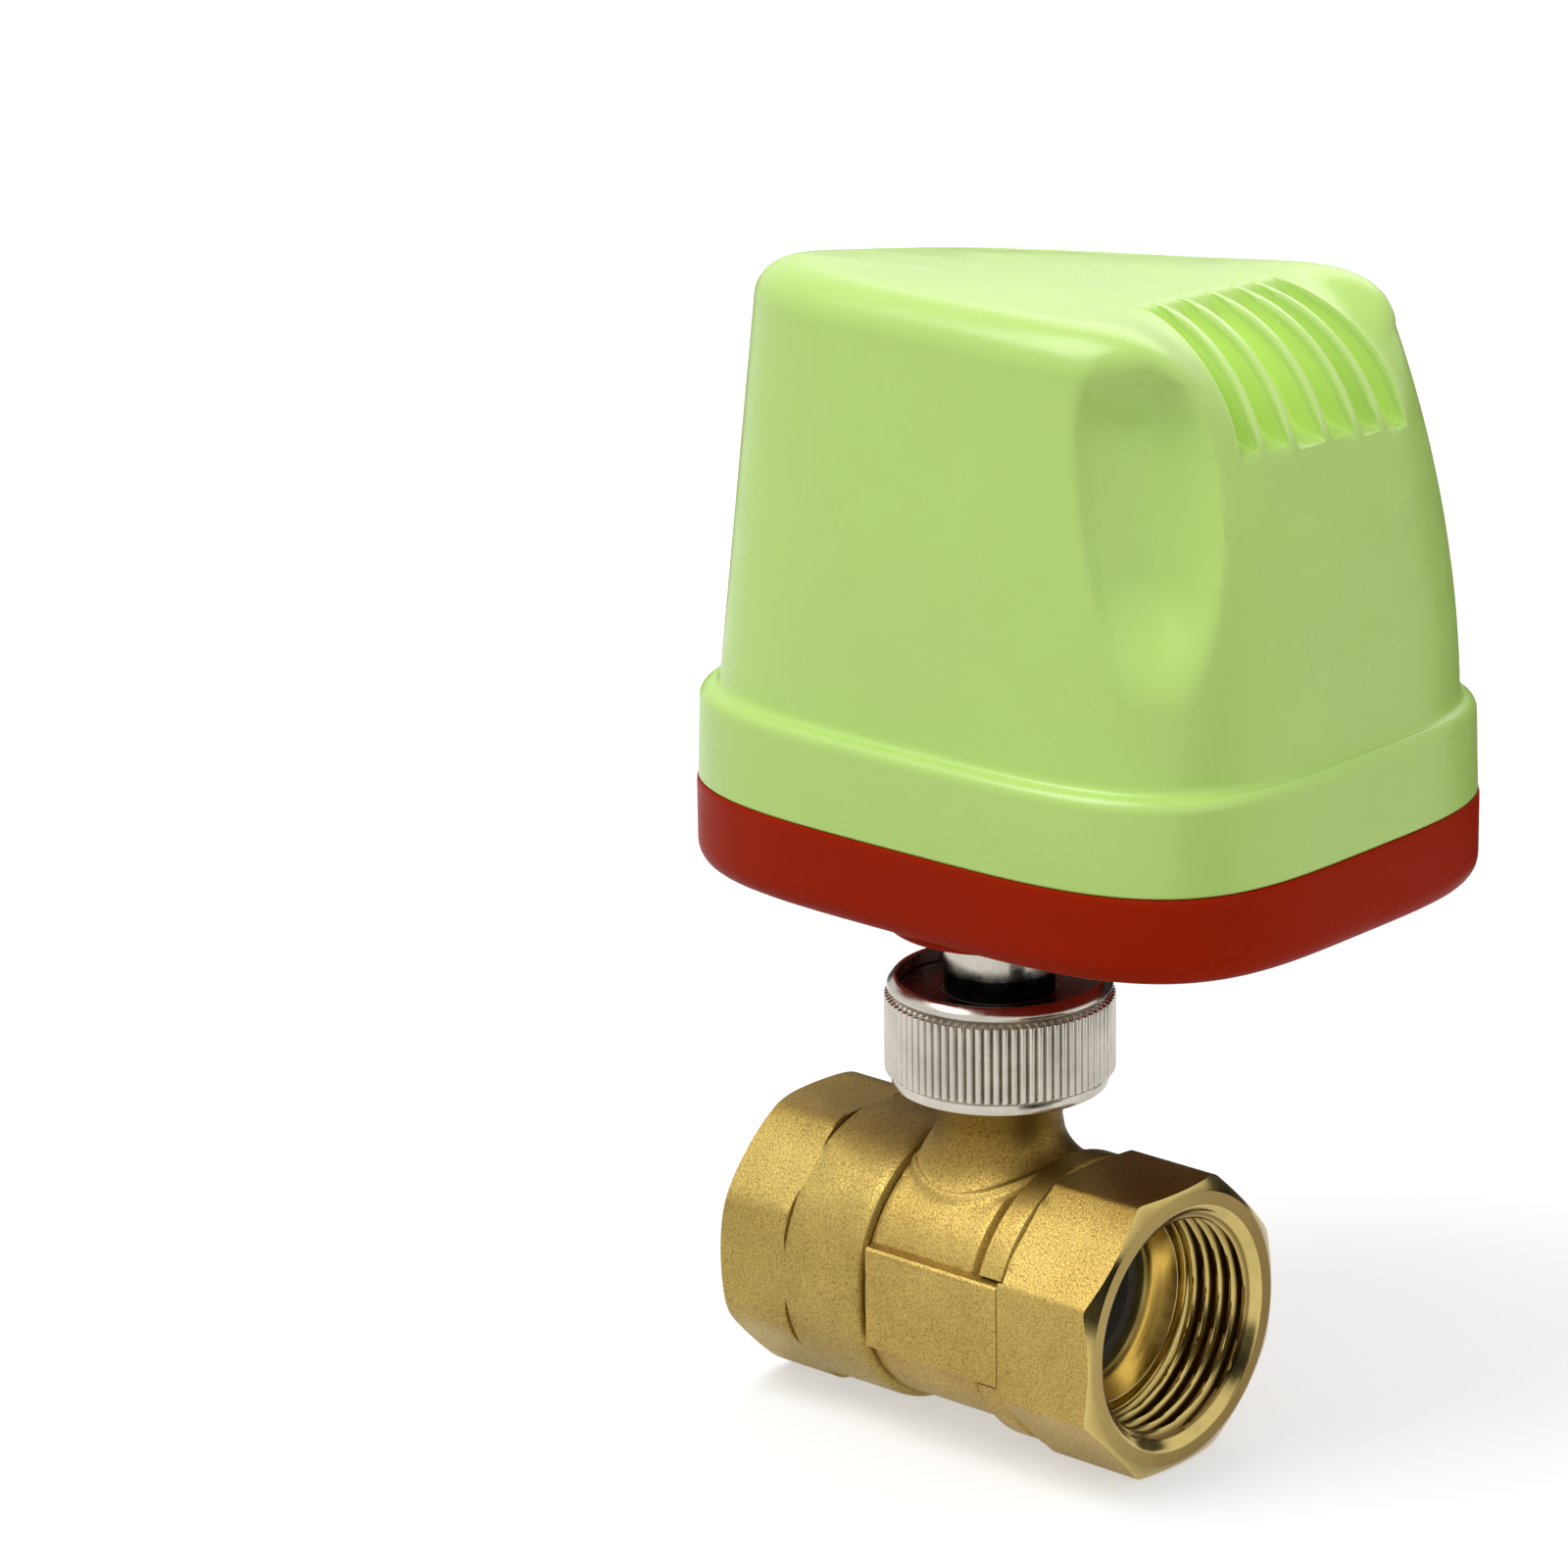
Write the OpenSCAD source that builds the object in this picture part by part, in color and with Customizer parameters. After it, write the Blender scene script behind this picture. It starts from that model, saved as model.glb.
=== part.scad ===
// Motorized ball valve: a two-piece brass ball valve with a plug-on electric actuator.
// X runs along the pipe towards the front port, Y to the back and Z up.
// The origin is the centre of the ball, and the valve is drawn closed.

/* [Brass body] */
// Width across the flats of both octagonal ends
port_flats = 32; // [31:0.5:36]
// From the ball's centre to the face of the front port
port_reach = 26; // [25:0.5:34]
// Length of the octagon on the front port
port_length = 13.3; // [10:0.1:13.5]
// From the ball's centre to the face of the end cap
cap_reach = 28; // [25:0.5:36]
// Length of the octagon on the end cap
cap_octagon_length = 10; // [7:0.5:12]
// From the ball's centre to the seam between body and end cap
seam_reach = 7; // [6:0.5:8]
// Radius inside the crests of the pipe thread
thread_r = 12.06; // [11:0.02:12.5]
// Depth of the pipe thread from the face of a port
thread_depth = 9.4; // [7:0.2:9.8]
// Thickness of the barrel's wall
barrel_wall = 2.35; // [2:0.05:3]
// Height that the collar ring stands above the barrel
collar_step = 1; // [0.5:0.1:1.6]
// Width of the collar ring
collar_width = 3.5; // [2:0.1:4]
// Width of the groove beside the collar ring
groove_width = 1.2; // [0.6:0.1:1.6]
// Height of the marking pad
pad_height = 11.8; // [8:0.1:14]
// Height that the marking pad stands above the barrel
pad_step = 0.6; // [0.3:0.1:1.2]

/* [Ball and seats] */
// Diameter of the ball
ball_d = 25; // [23.6:0.2:25.6]
// Diameter of the bore through the ball
ball_bore_d = 15; // [12:0.5:16]
// Width of the slot that takes the stem
slot_width = 5.1; // [4:0.1:6]
// Gap between the ball and the face of each seat
seat_gap = 0.1; // [0.05:0.01:0.15]

/* [Stem and neck] */
// Radius of the stem
stem_r = 4; // [3.7:0.05:4.3]
// Radius of the neck
neck_r = 6.9; // [6.5:0.1:7.4]
// Height of the neck above the barrel
neck_height = 13.7; // [13.2:0.1:18]
// Width of the stem's square end
square_w = 5; // [4.4:0.1:5.2]
// Length of the stem's square end
square_length = 6.6; // [5:0.1:8]

/* [Coupling] */
// Outer radius of the coupling nut over its knurl
nut_r = 12.77; // [12.6:0.05:14]
// Height of the coupling nut
nut_height = 12.5; // [11:0.1:14]
// Count of ridges in the knurl
knurl_count = 80; // [40:4:100]
// Radius of the thread between sleeve and nut
coupling_thread_r = 11.2; // [10.4:0.1:11.3]
// Outer radius of the sleeve below the housing
sleeve_r = 6.2; // [6:0.1:6.6]

/* [Housing] */
// Width of the housing along the pipe
housing_w = 79.2; // [78:0.2:90]
// Depth of the housing across the pipe
housing_d = 66; // [65:0.2:76]
// Place of the housing's middle behind the stem
housing_y = 15; // [14:0.1:16]
// Exponent of the rounded outline, 2 for an ellipse and more for squarer corners
housing_square = 3.8; // [3.6:0.1:5]
// Height of the base
base_height = 9.8; // [9:0.1:12]
// Height of the cover over its front edge
cover_height = 58.4; // [54:0.2:70]
// Height of the cover's skirt band
band_height = 10.6; // [10:0.1:14]
// Height of the round boss under the base
boss_height = 2.7; // [1.5:0.1:4]
// Radius of the round boss under the base
boss_r = 12.5; // [10:0.1:13]
// Thickness of the base's floor
floor_t = 2.5; // [2.4:0.1:3]
// Thickness of the base's wall
base_wall = 2.2; // [2:0.1:2.6]
// Thickness of the cover's wall
cover_wall = 2.4; // [1.8:0.1:2.6]
// Fall of the cover's top towards the back at its middle, for each millimetre of depth
top_slope = 0.078; // [0:0.002:0.1]
// Radius of the cover's top edge
top_edge_r = 5.2; // [3:0.1:8]
// Depth of a louvre slot
louvre_depth = 2.6; // [1:0.1:3]
// Depth of the hollow in the near corner
hollow_depth = 5.2; // [0:0.1:6]

/* [Gear train] */
// Module of all gears
gear_module = 0.8; // [0.76:0.01:0.82]
// Teeth of the full circle of the output gear
output_teeth = 48; // [46:2:50]
// Teeth of both pinions
pinion_teeth = 12; // [11:1:13]
// Teeth of the idler's large wheel
idler_teeth = 24; // [22:1:25]
// Thickness of the output gear
output_gear_t = 3.5; // [2.5:0.1:3.6]
// Thickness of the idler's large wheel
idler_wheel_t = 3; // [2:0.1:3.2]
// Radius of the output shaft
output_shaft_r = 4.2; // [4.1:0.02:4.4]
// Radius of the idler's axle
idler_axle_r = 2; // [1.5:0.1:2.4]
// Radius of the motor
motor_r = 16.5; // [14:0.1:16.8]
// Height of the motor
motor_height = 24; // [18:0.5:26]
// Thickness of the gear plate
plate_t = 1.6; // [1.2:0.1:2]

/* [Switches and board] */
// Size of a limit switch along X, Y and Z
switch_size = [10.6, 19.8, 6.4];
// Travel of a switch plunger
plunger_travel = 0.8; // [0.4:0.1:1.2]
// Base radius of the limit cams
cam_r = 8; // [6.4:0.1:8.4]
// Height of the lobe on a limit cam
cam_lobe = 1.3; // [0.8:0.1:1.6]
// Size of the circuit board along X, Y and Z
board_size = [1.6, 34, 24.4];

/* [Hidden] */
$fn = 72;

// Clearances
slip = 0.05;
loose = 0.1;
wide = 0.3;
eps = 0.02;

// Ball, seats and the bores that hold them
ball_r = ball_d / 2;
ball_bore_r = ball_bore_d / 2;
ball_flat_z = ball_r - 0.9;
slot_floor_z = ball_flat_z - 2.4;
cavity_r = ball_r + 0.45;
seat_rim = 0.5;
seat_step = 1;
seat_length = 4.2;
seat_back_gap = 0.7;
pocket_depth = 2.8;
seat_in_r = ball_bore_r + seat_rim;
seat_out_r = ball_r - seat_step;
seat_back = ball_r - seat_back_gap;
seat_front = seat_back - seat_length;
pocket_r = seat_out_r + loose;
pocket_front = seat_back - pocket_depth;
flow_r = seat_in_r + 1.4;

// Screwed joint: the cap goes over the body's spigot, and its nose holds the seat inside it
spigot_r = cavity_r + 1.45;
spigot_reach = seat_back + 0.4;
cap_thread_r = spigot_r + slip;
nose_r = cavity_r - loose;
seal_t = 0.8;
slot_floor = spigot_reach + seal_t;

// Outer shape of the brass body
barrel_r = cavity_r + barrel_wall;
collar_r = barrel_r + collar_step;
collar_end = port_reach - port_length;
collar_start = collar_end - collar_width;
groove_start = collar_start - groove_width;
groove_depth = 0.6;
core_r = port_flats / 2 - 0.6;
core_length = 4;
corner_r = port_flats / 2 / cos(22.5);
face_chamfer = 0.8;
face_r = port_flats / 2 - 0.2;
lead_in = 1.84;
lead_in_length = 1.1;
bevel_length = 3.4;
bevel_r = flow_r + 1.3;
cap_octagon_start = cap_reach - cap_octagon_length;
pad_face = barrel_r + pad_step;
pad_lift = 0.4;
pad_margin = 0.4;
neck_fillet = 4.2;

// Stem and neck
neck_top = barrel_r + neck_height;
stem_seat_z = barrel_r - 0.5;
washer_t = 0.7;
head_top = stem_seat_z - washer_t - loose;
head_height = 1.8;
head_bottom = head_top - head_height;
head_r = stem_r + 1.6;
recess_r = head_r + wide;
tang_length = 8;
tang_width = slot_width - 2 * loose;
stem_top = neck_top + 0.4;
square_top = stem_top + square_length;
oring_r = 0.58;
oring_pitch = stem_r - 0.55;
oring_groove_r = stem_r - 1.15;
oring_groove_w = 2;
oring_z = [neck_top - 10, neck_top - 6];

// Coupling nut and sleeve
nut_bottom = neck_top - 6.1;
nut_lip = 2.9;
nut_lip_top = nut_bottom + nut_lip;
nut_top = nut_bottom + nut_height;
nut_bore_r = coupling_thread_r + loose;
nut_lip_r = neck_r + 0.08;
knurl_bottom = nut_bottom + 1.95;
knurl_top = nut_top - 1.8;
knurl_depth = 0.5;
ring_groove_r = neck_r - 0.8;
ring_groove_z = nut_lip_top + 0.2;
ring_groove_h = 1.2;
ring_r = neck_r + 1.8;
gasket_t = 0.8;
socket_r = neck_r + 0.15;
sleeve_bottom = ring_groove_z + ring_groove_h + 0.4;
sleeve_seat = neck_top + gasket_t;
sleeve_ring_top = sleeve_bottom + 6;
boss_bottom = nut_top + 6.1;
spigot_sleeve_r = sleeve_r - 0.8;
sleeve_bore_r = output_shaft_r + slip + 0.01;

// Heights of the housing
base_bottom = boss_bottom + boss_height;
floor_top = base_bottom + floor_t;
base_top = base_bottom + base_height;
cover_top = base_top + cover_height;
band_top = base_top + band_height;
half_w = housing_w / 2;
half_d = housing_d / 2;
outline_steps = 64;
band_inset = 0.4;
wall_inset = 2.3;
front_draft = 0.088;
back_draft = 0.02;
back_curve = 0.0033;
top_twist = 0.0026;
skin_t = cover_wall + band_inset;

// Sleeve end inside the base
circlip_t = 0.9;
circlip_z = floor_top + loose;
circlip_groove_r = spigot_sleeve_r - 0.5;
circlip_r = spigot_sleeve_r + 1.6;
sleeve_top = circlip_z + circlip_t + 1.6;

// Gear train
output_pitch_r = output_teeth * gear_module / 2;
pinion_pitch_r = pinion_teeth * gear_module / 2;
idler_pitch_r = idler_teeth * gear_module / 2;
idler_y = output_pitch_r + pinion_pitch_r;
motor_x = -(idler_pitch_r + pinion_pitch_r);
output_gear_z = sleeve_top + 0.6;
idler_wheel_z = output_gear_z + output_gear_t + 0.7;
plate_z = idler_wheel_z + idler_wheel_t + 0.8;
plate_top = plate_z + plate_t;
pressure_angle = 25;
tooth_addendum = 0.8 * gear_module;
tooth_dedendum = 1.05 * gear_module;
backlash = 0.12;
sector_start = -15;
sector_end = 105;
sector_step = 15;
gear_hub_r = output_shaft_r + 2.4;
bush_r = output_shaft_r + 1.8;
bush_flange_t = 0.8;
idler_hub_r = idler_axle_r + 1.3;
motor_shaft_r = 1.5;
motor_shaft_depth = 4;
motor_ear_r = 2.6;
motor_ear_t = 0.9;
motor_ear_reach = motor_r + 2.4;
motor_ear_angles = [45, -90];
motor_screw_r = 1.2;

// Screws that hold the cover, and the gear plate's gap to their bosses
screw_inset_x = 8.6;
screw_inset_y = 11;
screw_x = half_w - screw_inset_x;
screw_y = half_d - screw_inset_y;
screw_r = 1.45;
screw_hole_r = screw_r + loose;
screw_boss_r = 3;
screw_head_r = 2.6;
screw_head_h = 1.5;
screw_seat_z = base_bottom + 1.8;
screw_length = 15;
cover_boss_height = 9.3;
plate_gap = 0.5;

// Gear plate and its pillars
plate_room = 7;
pillar_inset = 4;
plate_half_x = screw_x - screw_boss_r - plate_gap;
plate_half_y = half_d - plate_room;
pillar_r = 2.5;
pillar_x = plate_half_x - pillar_inset;
pillar_y = plate_half_y - pillar_inset;
plate_screw_r = 1.2;
plate_screw_length = 8;
plate_head_r = 2.2;

// Limit switches and cams
switch_x = 11.6;
switch_y = 1.9;
plunger_r = 1;
plunger_length = 4.4;
cam_t = 3;
cam_hub_r = output_shaft_r + 1.8;
cam_gap = 0.3;
cam_bottom = plate_top + bush_flange_t + 0.2;
switch_screw_r = 1.2;
switch_screw_inset = 2.7;
switch_head_r = 2.2;
switch_head_h = 1.5;
switch_top = plate_top + 2 * switch_size[2];
shaft_top = switch_top + 1.5;

// Circuit board and what it carries
board_x = plate_half_x - 0.1 - board_size[0];
board_shift = 1;
board_y = housing_y + board_shift;
terminal_size = [8, 16, 10];
capacitor_r = 4.5;
capacitor_length = 10;

// Cable gland
gland_x = 12;
gland_room = 12;
gland_y = housing_y + half_d - gland_room;
gland_bore_r = 3;
gland_thread_r = 6;
gland_flats = 14;
gland_drop = 5;
gland_top = floor_top + 4;
locknut_flats = 14.5;
locknut_t = 2.6;

// Louvre slots: where each one starts on the top, its direction, its width and the lower end of all
louvre_starts = [5.5, 8.9, 13.2, 17.6, 21.2, 25.2];
louvre_start_x = 16;
louvre_angles = [-9, -6, -2, 2, 6, 10];
louvre_widths = [2.2, 2.8, 3.4, 3, 2.4, 3.8];
louvre_low = 14.2;

// Teardrop hollow: its lower and upper end, its angle in plan and its half width
hollow_low = base_top + 19.7;
hollow_reach = 37.3;
hollow_angle = -38.9;
hollow_half = 13;

// Broad shoulder that carries the louvres: its outer side, its size and the exponent of its curve
shoulder_x = 34.2;
shoulder_w = 24;
shoulder_foot = base_top + 34;
shoulder_crown = base_top + 58.3;
shoulder_power = 2.29;

// Shared shapes

module tube(outer_r, inner_r, height) {
    difference() {
        cylinder(r = outer_r, h = height);
        translate([0, 0, -1]) cylinder(r = inner_r, h = height + 2);
    }
}

// A shape turned about the pipe axis, from points of radius and place along X
module turned_on_pipe(points) {
    rotate([0, 90, 0]) rotate_extrude() polygon(points);
}

// An octagonal end with its face at x = reach and its corners chamfered there
module octagon_end(start, reach) {
    chamfer_slope = face_chamfer / (corner_r - face_r);
    outside_r = corner_r + 1;
    intersection() {
        rotate([0, 90, 0]) translate([0, 0, start]) rotate(22.5)
            cylinder(r = corner_r, h = reach - start + 1, $fn = 8);
        turned_on_pipe([
            [0, start - 1], [outside_r, start - 1],
            [outside_r, reach - (outside_r - face_r) * chamfer_slope], [face_r, reach], [0, reach]
        ]);
    }
}

// Inside of an end from its face inwards: lead-in, thread bore, bevel, flow bore and seat pocket
module end_bore(reach) {
    thread_end = reach - thread_depth;
    turned_on_pipe([
        [0, pocket_front - 1], [pocket_r, pocket_front - 1], [pocket_r, seat_back], [flow_r, seat_back],
        [flow_r, thread_end - bevel_length], [bevel_r, thread_end], [thread_r, thread_end],
        [thread_r, reach - lead_in_length], [thread_r + lead_in, reach], [thread_r + lead_in, reach + 1],
        [0, reach + 1]
    ]);
}

// Involute of a tooth flank: half the tooth's angle at radius r
function involute(a) = tan(a) * 180 / PI - a;
function half_angle(r, pitch_r, base_r) =
    ((PI * gear_module / 2 - backlash) / 2 / pitch_r) * 180 / PI
    + involute(pressure_angle) - involute(acos(min(1, base_r / r)));

// Outline of one tooth, from its right foot over the tip to its left foot
function tooth(centre, pitch_r) =
    let (base_r = pitch_r * cos(pressure_angle),
         root_r = pitch_r - tooth_dedendum,
         tip_r = pitch_r + tooth_addendum,
         foot_r = max(base_r, root_r),
         radii = [for (i = [0:3]) foot_r + (tip_r - foot_r) * i / 3],
         right = [for (r = radii) [r, centre - half_angle(r, pitch_r, base_r)]],
         left = [for (i = [3:-1:0]) [radii[i], centre + half_angle(radii[i], pitch_r, base_r)]],
         foot = half_angle(foot_r, pitch_r, base_r),
         polar = concat([[root_r, centre - foot]], right, left, [[root_r, centre + foot]]))
    [for (p = polar) p[0] * [cos(p[1]), sin(p[1])]];

module gear_outline(teeth, phase) {
    pitch_r = teeth * gear_module / 2;
    polygon([for (i = [0:teeth - 1]) each tooth(phase + i * 360 / teeth, pitch_r)]);
}

// Point t of the rounded outline, with its own inset on the front and left and on the back and right
function signed_power(v, p) = sign(v) * pow(abs(v), p);
function outline_point(t, front_in, back_in) =
    let (c = signed_power(cos(t), 2 / housing_square),
         s = signed_power(sin(t), 2 / housing_square))
    [c * (half_w - (c > 0 ? back_in : front_in)), housing_y + s * (half_d - (s > 0 ? back_in : front_in))];
function outline(front_in, back_in) =
    [for (i = [0:outline_steps - 1]) outline_point(i * 360 / outline_steps, front_in, back_in)];
function outline_ring(z, inset) = [for (p = outline(inset, inset)) [p[0], p[1], z]];

// A closed solid over rings of equally many points, from the lowest ring to the highest
module loft(rings) {
    n = len(rings[0]);
    last = len(rings) - 1;
    foot = len(rings) * n;
    points = concat([for (ring = rings) each ring], [ring_centre(rings[0]), ring_centre(rings[last])]);
    sides = [for (k = [0:last - 1], i = [0:n - 1])
        let (a = k * n + i, b = k * n + (i + 1) % n, c = b + n, d = a + n)
        each [[a, d, c], [a, c, b]]];
    bottom = [for (i = [0:n - 1]) [foot, i, (i + 1) % n]];
    top = [for (i = [0:n - 1]) [foot + 1, last * n + (i + 1) % n, last * n + i]];
    polyhedron(points = points, faces = concat(sides, bottom, top), convexity = 6);
}
function ring_centre(ring) = [for (axis = [0:2]) sum_axis(ring, axis) / len(ring)];
function sum_axis(ring, axis) = [for (p = ring) p[axis]] * [for (p = ring) 1];

// Height of the cover's top over a point of the plan, which falls to the back and twists with X
function top_z(x, y) = cover_top - (top_slope - top_twist * x) * max(0, y + 5);
function smooth(v) = let (s = max(0, min(1, v))) s * s * (3 - 2 * s);

// Depth of the teardrop hollow in the near corner, at an angle in plan and a height
function hollow(angle, z) =
    let (v = max(0, min(1, (z - hollow_low) / hollow_reach)),
         half = hollow_half * sqrt(1 - pow(1 - v, 2.2)) * sqrt(1 - pow(v, 14)) + 0.01)
    hollow_depth * smooth(v / 0.55) * (1 - smooth((z - hollow_low - 27.3) / 10.5))
    * smooth(1 - abs(angle - hollow_angle) / half);

// How far a point moves in and down at 45 degrees to lie on the shoulder, found by halving
function on_shoulder(x, z, foot, crown) =
    let (u = max(0, 1 - (shoulder_x - x) / shoulder_w), v = max(0, (z - foot) / (crown - foot)))
    pow(u, shoulder_power) + pow(v, shoulder_power);
function shoulder_shift(x, z, foot, crown, low, high, turns) =
    let (middle = (low + high) / 2)
    turns == 0 ? max(0, middle)
    : on_shoulder(x - middle / sqrt(2), z - middle / sqrt(2), foot, crown) > 1
        ? shoulder_shift(x, z, foot, crown, middle, high, turns - 1)
        : shoulder_shift(x, z, foot, crown, low, middle, turns - 1);
function shoulder(p, inset) =
    let (x = p[0] + inset / sqrt(2), y = p[1], z = p[2] + inset / sqrt(2),
         foot = shoulder_foot - 0.068 * (y - housing_y),
         crown = shoulder_crown - 0.036 * (y - housing_y),
         fade = smooth((y + 9) / 11) * (1 - smooth((y - 29) / 6)) * smooth((x - 5) / 9)
             * smooth((z - shoulder_foot) / 9),
         shift = fade > 0 ? fade * shoulder_shift(x, z, foot, crown, -10, 10, 12) : 0)
    [p[0] - shift / sqrt(2), y, p[2] - shift / sqrt(2)];

// Point of the cover's skin at angle t: inset is measured inwards from the outer skin at height z,
// and the rounded top edge draws it in by extra and lifts it by rise
function skin_point(t, z, inset, extra = 0, rise = 0) =
    let (h = z - band_top,
         front_in = wall_inset + front_draft * h + inset,
         back_in = wall_inset - 0.3 + back_draft * h + back_curve * h * h + inset,
         p = outline_point(t, front_in + extra, back_in + extra),
         dent = hollow(atan2(p[1] - housing_y, p[0]), z + rise + inset) / sqrt(2))
    shoulder([p[0] - dent, p[1] + dent, z + rise], inset);

// Height at which the top edge starts at angle t
function edge_start(t) =
    let (p = outline_point(t, wall_inset + 4, wall_inset + 6)) top_z(p[0], p[1]) - top_edge_r;

// Ring at a share of the height between the band and the start of the rounded top edge
function wall_ring(share, inset) =
    [for (i = [0:outline_steps - 1])
        let (t = i * 360 / outline_steps)
        skin_point(t, band_top + (edge_start(t) - band_top) * share, inset)];

// Ring on the rounded top edge, at an angle from the wall (0) to the top (90)
function edge_ring(angle, inset) =
    [for (i = [0:outline_steps - 1])
        let (t = i * 360 / outline_steps, r = top_edge_r - inset)
        skin_point(t, edge_start(t), inset, r * (1 - cos(angle)), r * sin(angle))];

// Ring on the flat top, shrunk towards the middle
function top_ring(share, inset) =
    [for (i = [0:outline_steps - 1])
        let (t = i * 360 / outline_steps,
             h = edge_start(t) - band_top,
             front_in = wall_inset + front_draft * h + top_edge_r,
             back_in = wall_inset - 0.3 + back_draft * h + back_curve * h * h + top_edge_r,
             p = outline_point(t, front_in, back_in),
             x = p[0] * share,
             y = housing_y + (p[1] - housing_y) * share)
        shoulder([x, y, top_z(x, y) - inset], inset)];

// The cover's skin above the band, drawn in by inset
function skin_rings(inset) =
    concat([for (share = [0, 0.25, 0.45, 0.6, 0.75, 0.88, 1]) wall_ring(share, inset)],
           [for (angle = [22, 45, 68, 90]) edge_ring(angle, inset)],
           [for (share = [0.88, 0.74, 0.58, 0.4, 0.2]) top_ring(share, inset)]);

// Brass body

module valve_body() color("#c9a54c") {
    difference() {
        union() {
            octagon_end(collar_end, port_reach);
            turned_on_pipe([
                [0, -spigot_reach], [spigot_r, -spigot_reach], [spigot_r, -seam_reach],
                [barrel_r, -seam_reach], [barrel_r, groove_start],
                [barrel_r - groove_depth, groove_start], [barrel_r - groove_depth, collar_start],
                [collar_r, collar_start], [collar_r, collar_end], [core_r, collar_end],
                [core_r, collar_end + core_length], [0, collar_end + core_length]
            ]);
            marking_pad();
            cylinder(r = neck_r, h = neck_top);
            neck_blend();
        }
        end_bore(port_reach);
        turned_on_pipe([
            [0, -spigot_reach - 1], [cavity_r, -spigot_reach - 1], [cavity_r, pocket_front],
            [0, pocket_front]
        ]);
        translate([0, 0, ball_r - 2]) cylinder(r = recess_r, h = stem_seat_z - ball_r + 2);
        cylinder(r = stem_r + slip, h = neck_top + 1);
        translate([0, 0, ring_groove_z]) tube(neck_r + 1, ring_groove_r, ring_groove_h);
    }
}

module marking_pad() {
    pad_length = collar_end + seam_reach - pad_margin;
    translate([pad_margin - seam_reach, -pad_face, pad_lift - pad_height / 2])
        cube([pad_length, 4, pad_height]);
}

// Concave blend between the neck and the barrel, cut off at the seam
module neck_blend() {
    foot_z = barrel_r - 1;
    foot_r = neck_r + neck_fillet + 1.6;
    arc = [for (a = [0:15:90])
        [neck_r + neck_fillet * (1 - cos(a)), foot_z + neck_fillet * (1 - sin(a))]];
    intersection() {
        rotate_extrude() polygon(concat([[0, foot_z - 6], [0, foot_z + neck_fillet]], arc,
            [[foot_r, foot_z - 6]]));
        translate([-seam_reach, -foot_r, 0]) cube([2 * foot_r, 2 * foot_r, neck_top]);
    }
}

module end_cap() color("#c29d47") {
    difference() {
        union() {
            mirror([1, 0, 0]) octagon_end(cap_octagon_start, cap_reach);
            mirror([1, 0, 0]) turned_on_pipe([
                [0, seam_reach], [collar_r, seam_reach], [collar_r, cap_octagon_start],
                [core_r, cap_octagon_start], [core_r, cap_octagon_start + core_length],
                [0, cap_octagon_start + core_length]
            ]);
        }
        mirror([1, 0, 0]) end_bore(cap_reach);
        mirror([1, 0, 0]) turned_on_pipe([
            [0, seam_reach - 1], [cap_thread_r, seam_reach - 1], [cap_thread_r, slot_floor],
            [nose_r, slot_floor], [nose_r, pocket_front], [0, pocket_front]
        ]);
    }
}

module cap_seal() color("#3a3a3a") {
    mirror([1, 0, 0]) turned_on_pipe([
        [cavity_r + slip, spigot_reach], [spigot_r - slip, spigot_reach],
        [spigot_r - slip, slot_floor], [cavity_r + slip, slot_floor]
    ]);
}

// Ball, seats and stem

module ball() color("#57534d") {
    difference() {
        sphere(r = ball_r);
        rotate([90, 0, 0]) cylinder(r = ball_bore_r, h = 3 * ball_r, center = true);
        translate([-ball_r, -ball_r, ball_flat_z]) cube([ball_d, ball_d, ball_r]);
        translate([-ball_r, -slot_width / 2, slot_floor_z]) cube([ball_d, slot_width, ball_r]);
    }
}

module seat_ring() {
    difference() {
        rotate([0, 90, 0]) translate([0, 0, seat_front])
            tube(seat_out_r, seat_in_r, seat_back - seat_front);
        sphere(r = ball_r + seat_gap);
    }
}

module seat_ring_port() color("#46423d") seat_ring();

module seat_ring_cap() color("#46423d") mirror([1, 0, 0]) seat_ring();

module valve_stem() color("#b8953f") {
    difference() {
        union() {
            intersection() {
                translate([-tang_length / 2, -tang_width / 2, slot_floor_z + 0.2])
                    cube([tang_length, tang_width, head_bottom - slot_floor_z]);
                cylinder(r = head_r, h = head_bottom + 1);
            }
            translate([0, 0, head_bottom]) cylinder(r = head_r, h = head_height);
            translate([0, 0, head_bottom]) cylinder(r = stem_r, h = stem_top - head_bottom);
            translate([-square_w / 2, -square_w / 2, stem_top - 1])
                cube([square_w, square_w, square_top - stem_top + 1]);
        }
        for (z = oring_z)
            translate([0, 0, z - oring_groove_w / 2]) tube(stem_r + 1, oring_groove_r, oring_groove_w);
    }
}

module stem_orings() color("#222222") {
    for (z = oring_z)
        translate([0, 0, z]) rotate_extrude() translate([oring_pitch, 0]) circle(r = oring_r, $fn = 32);
}

module thrust_washer() color("#e8e4d8") {
    translate([0, 0, head_top + slip]) tube(head_r + loose, stem_r + 0.15, washer_t);
}

module retaining_ring() color("#9a9a98") {
    opening = 2;
    difference() {
        translate([0, 0, ring_groove_z + slip]) tube(ring_r, ring_groove_r + slip, ring_groove_h - 2 * slip);
        translate([-opening / 2, 0, ring_groove_z - 1]) cube([opening, ring_r + 1, ring_groove_h + 2]);
    }
}

// Coupling between valve and housing

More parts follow.
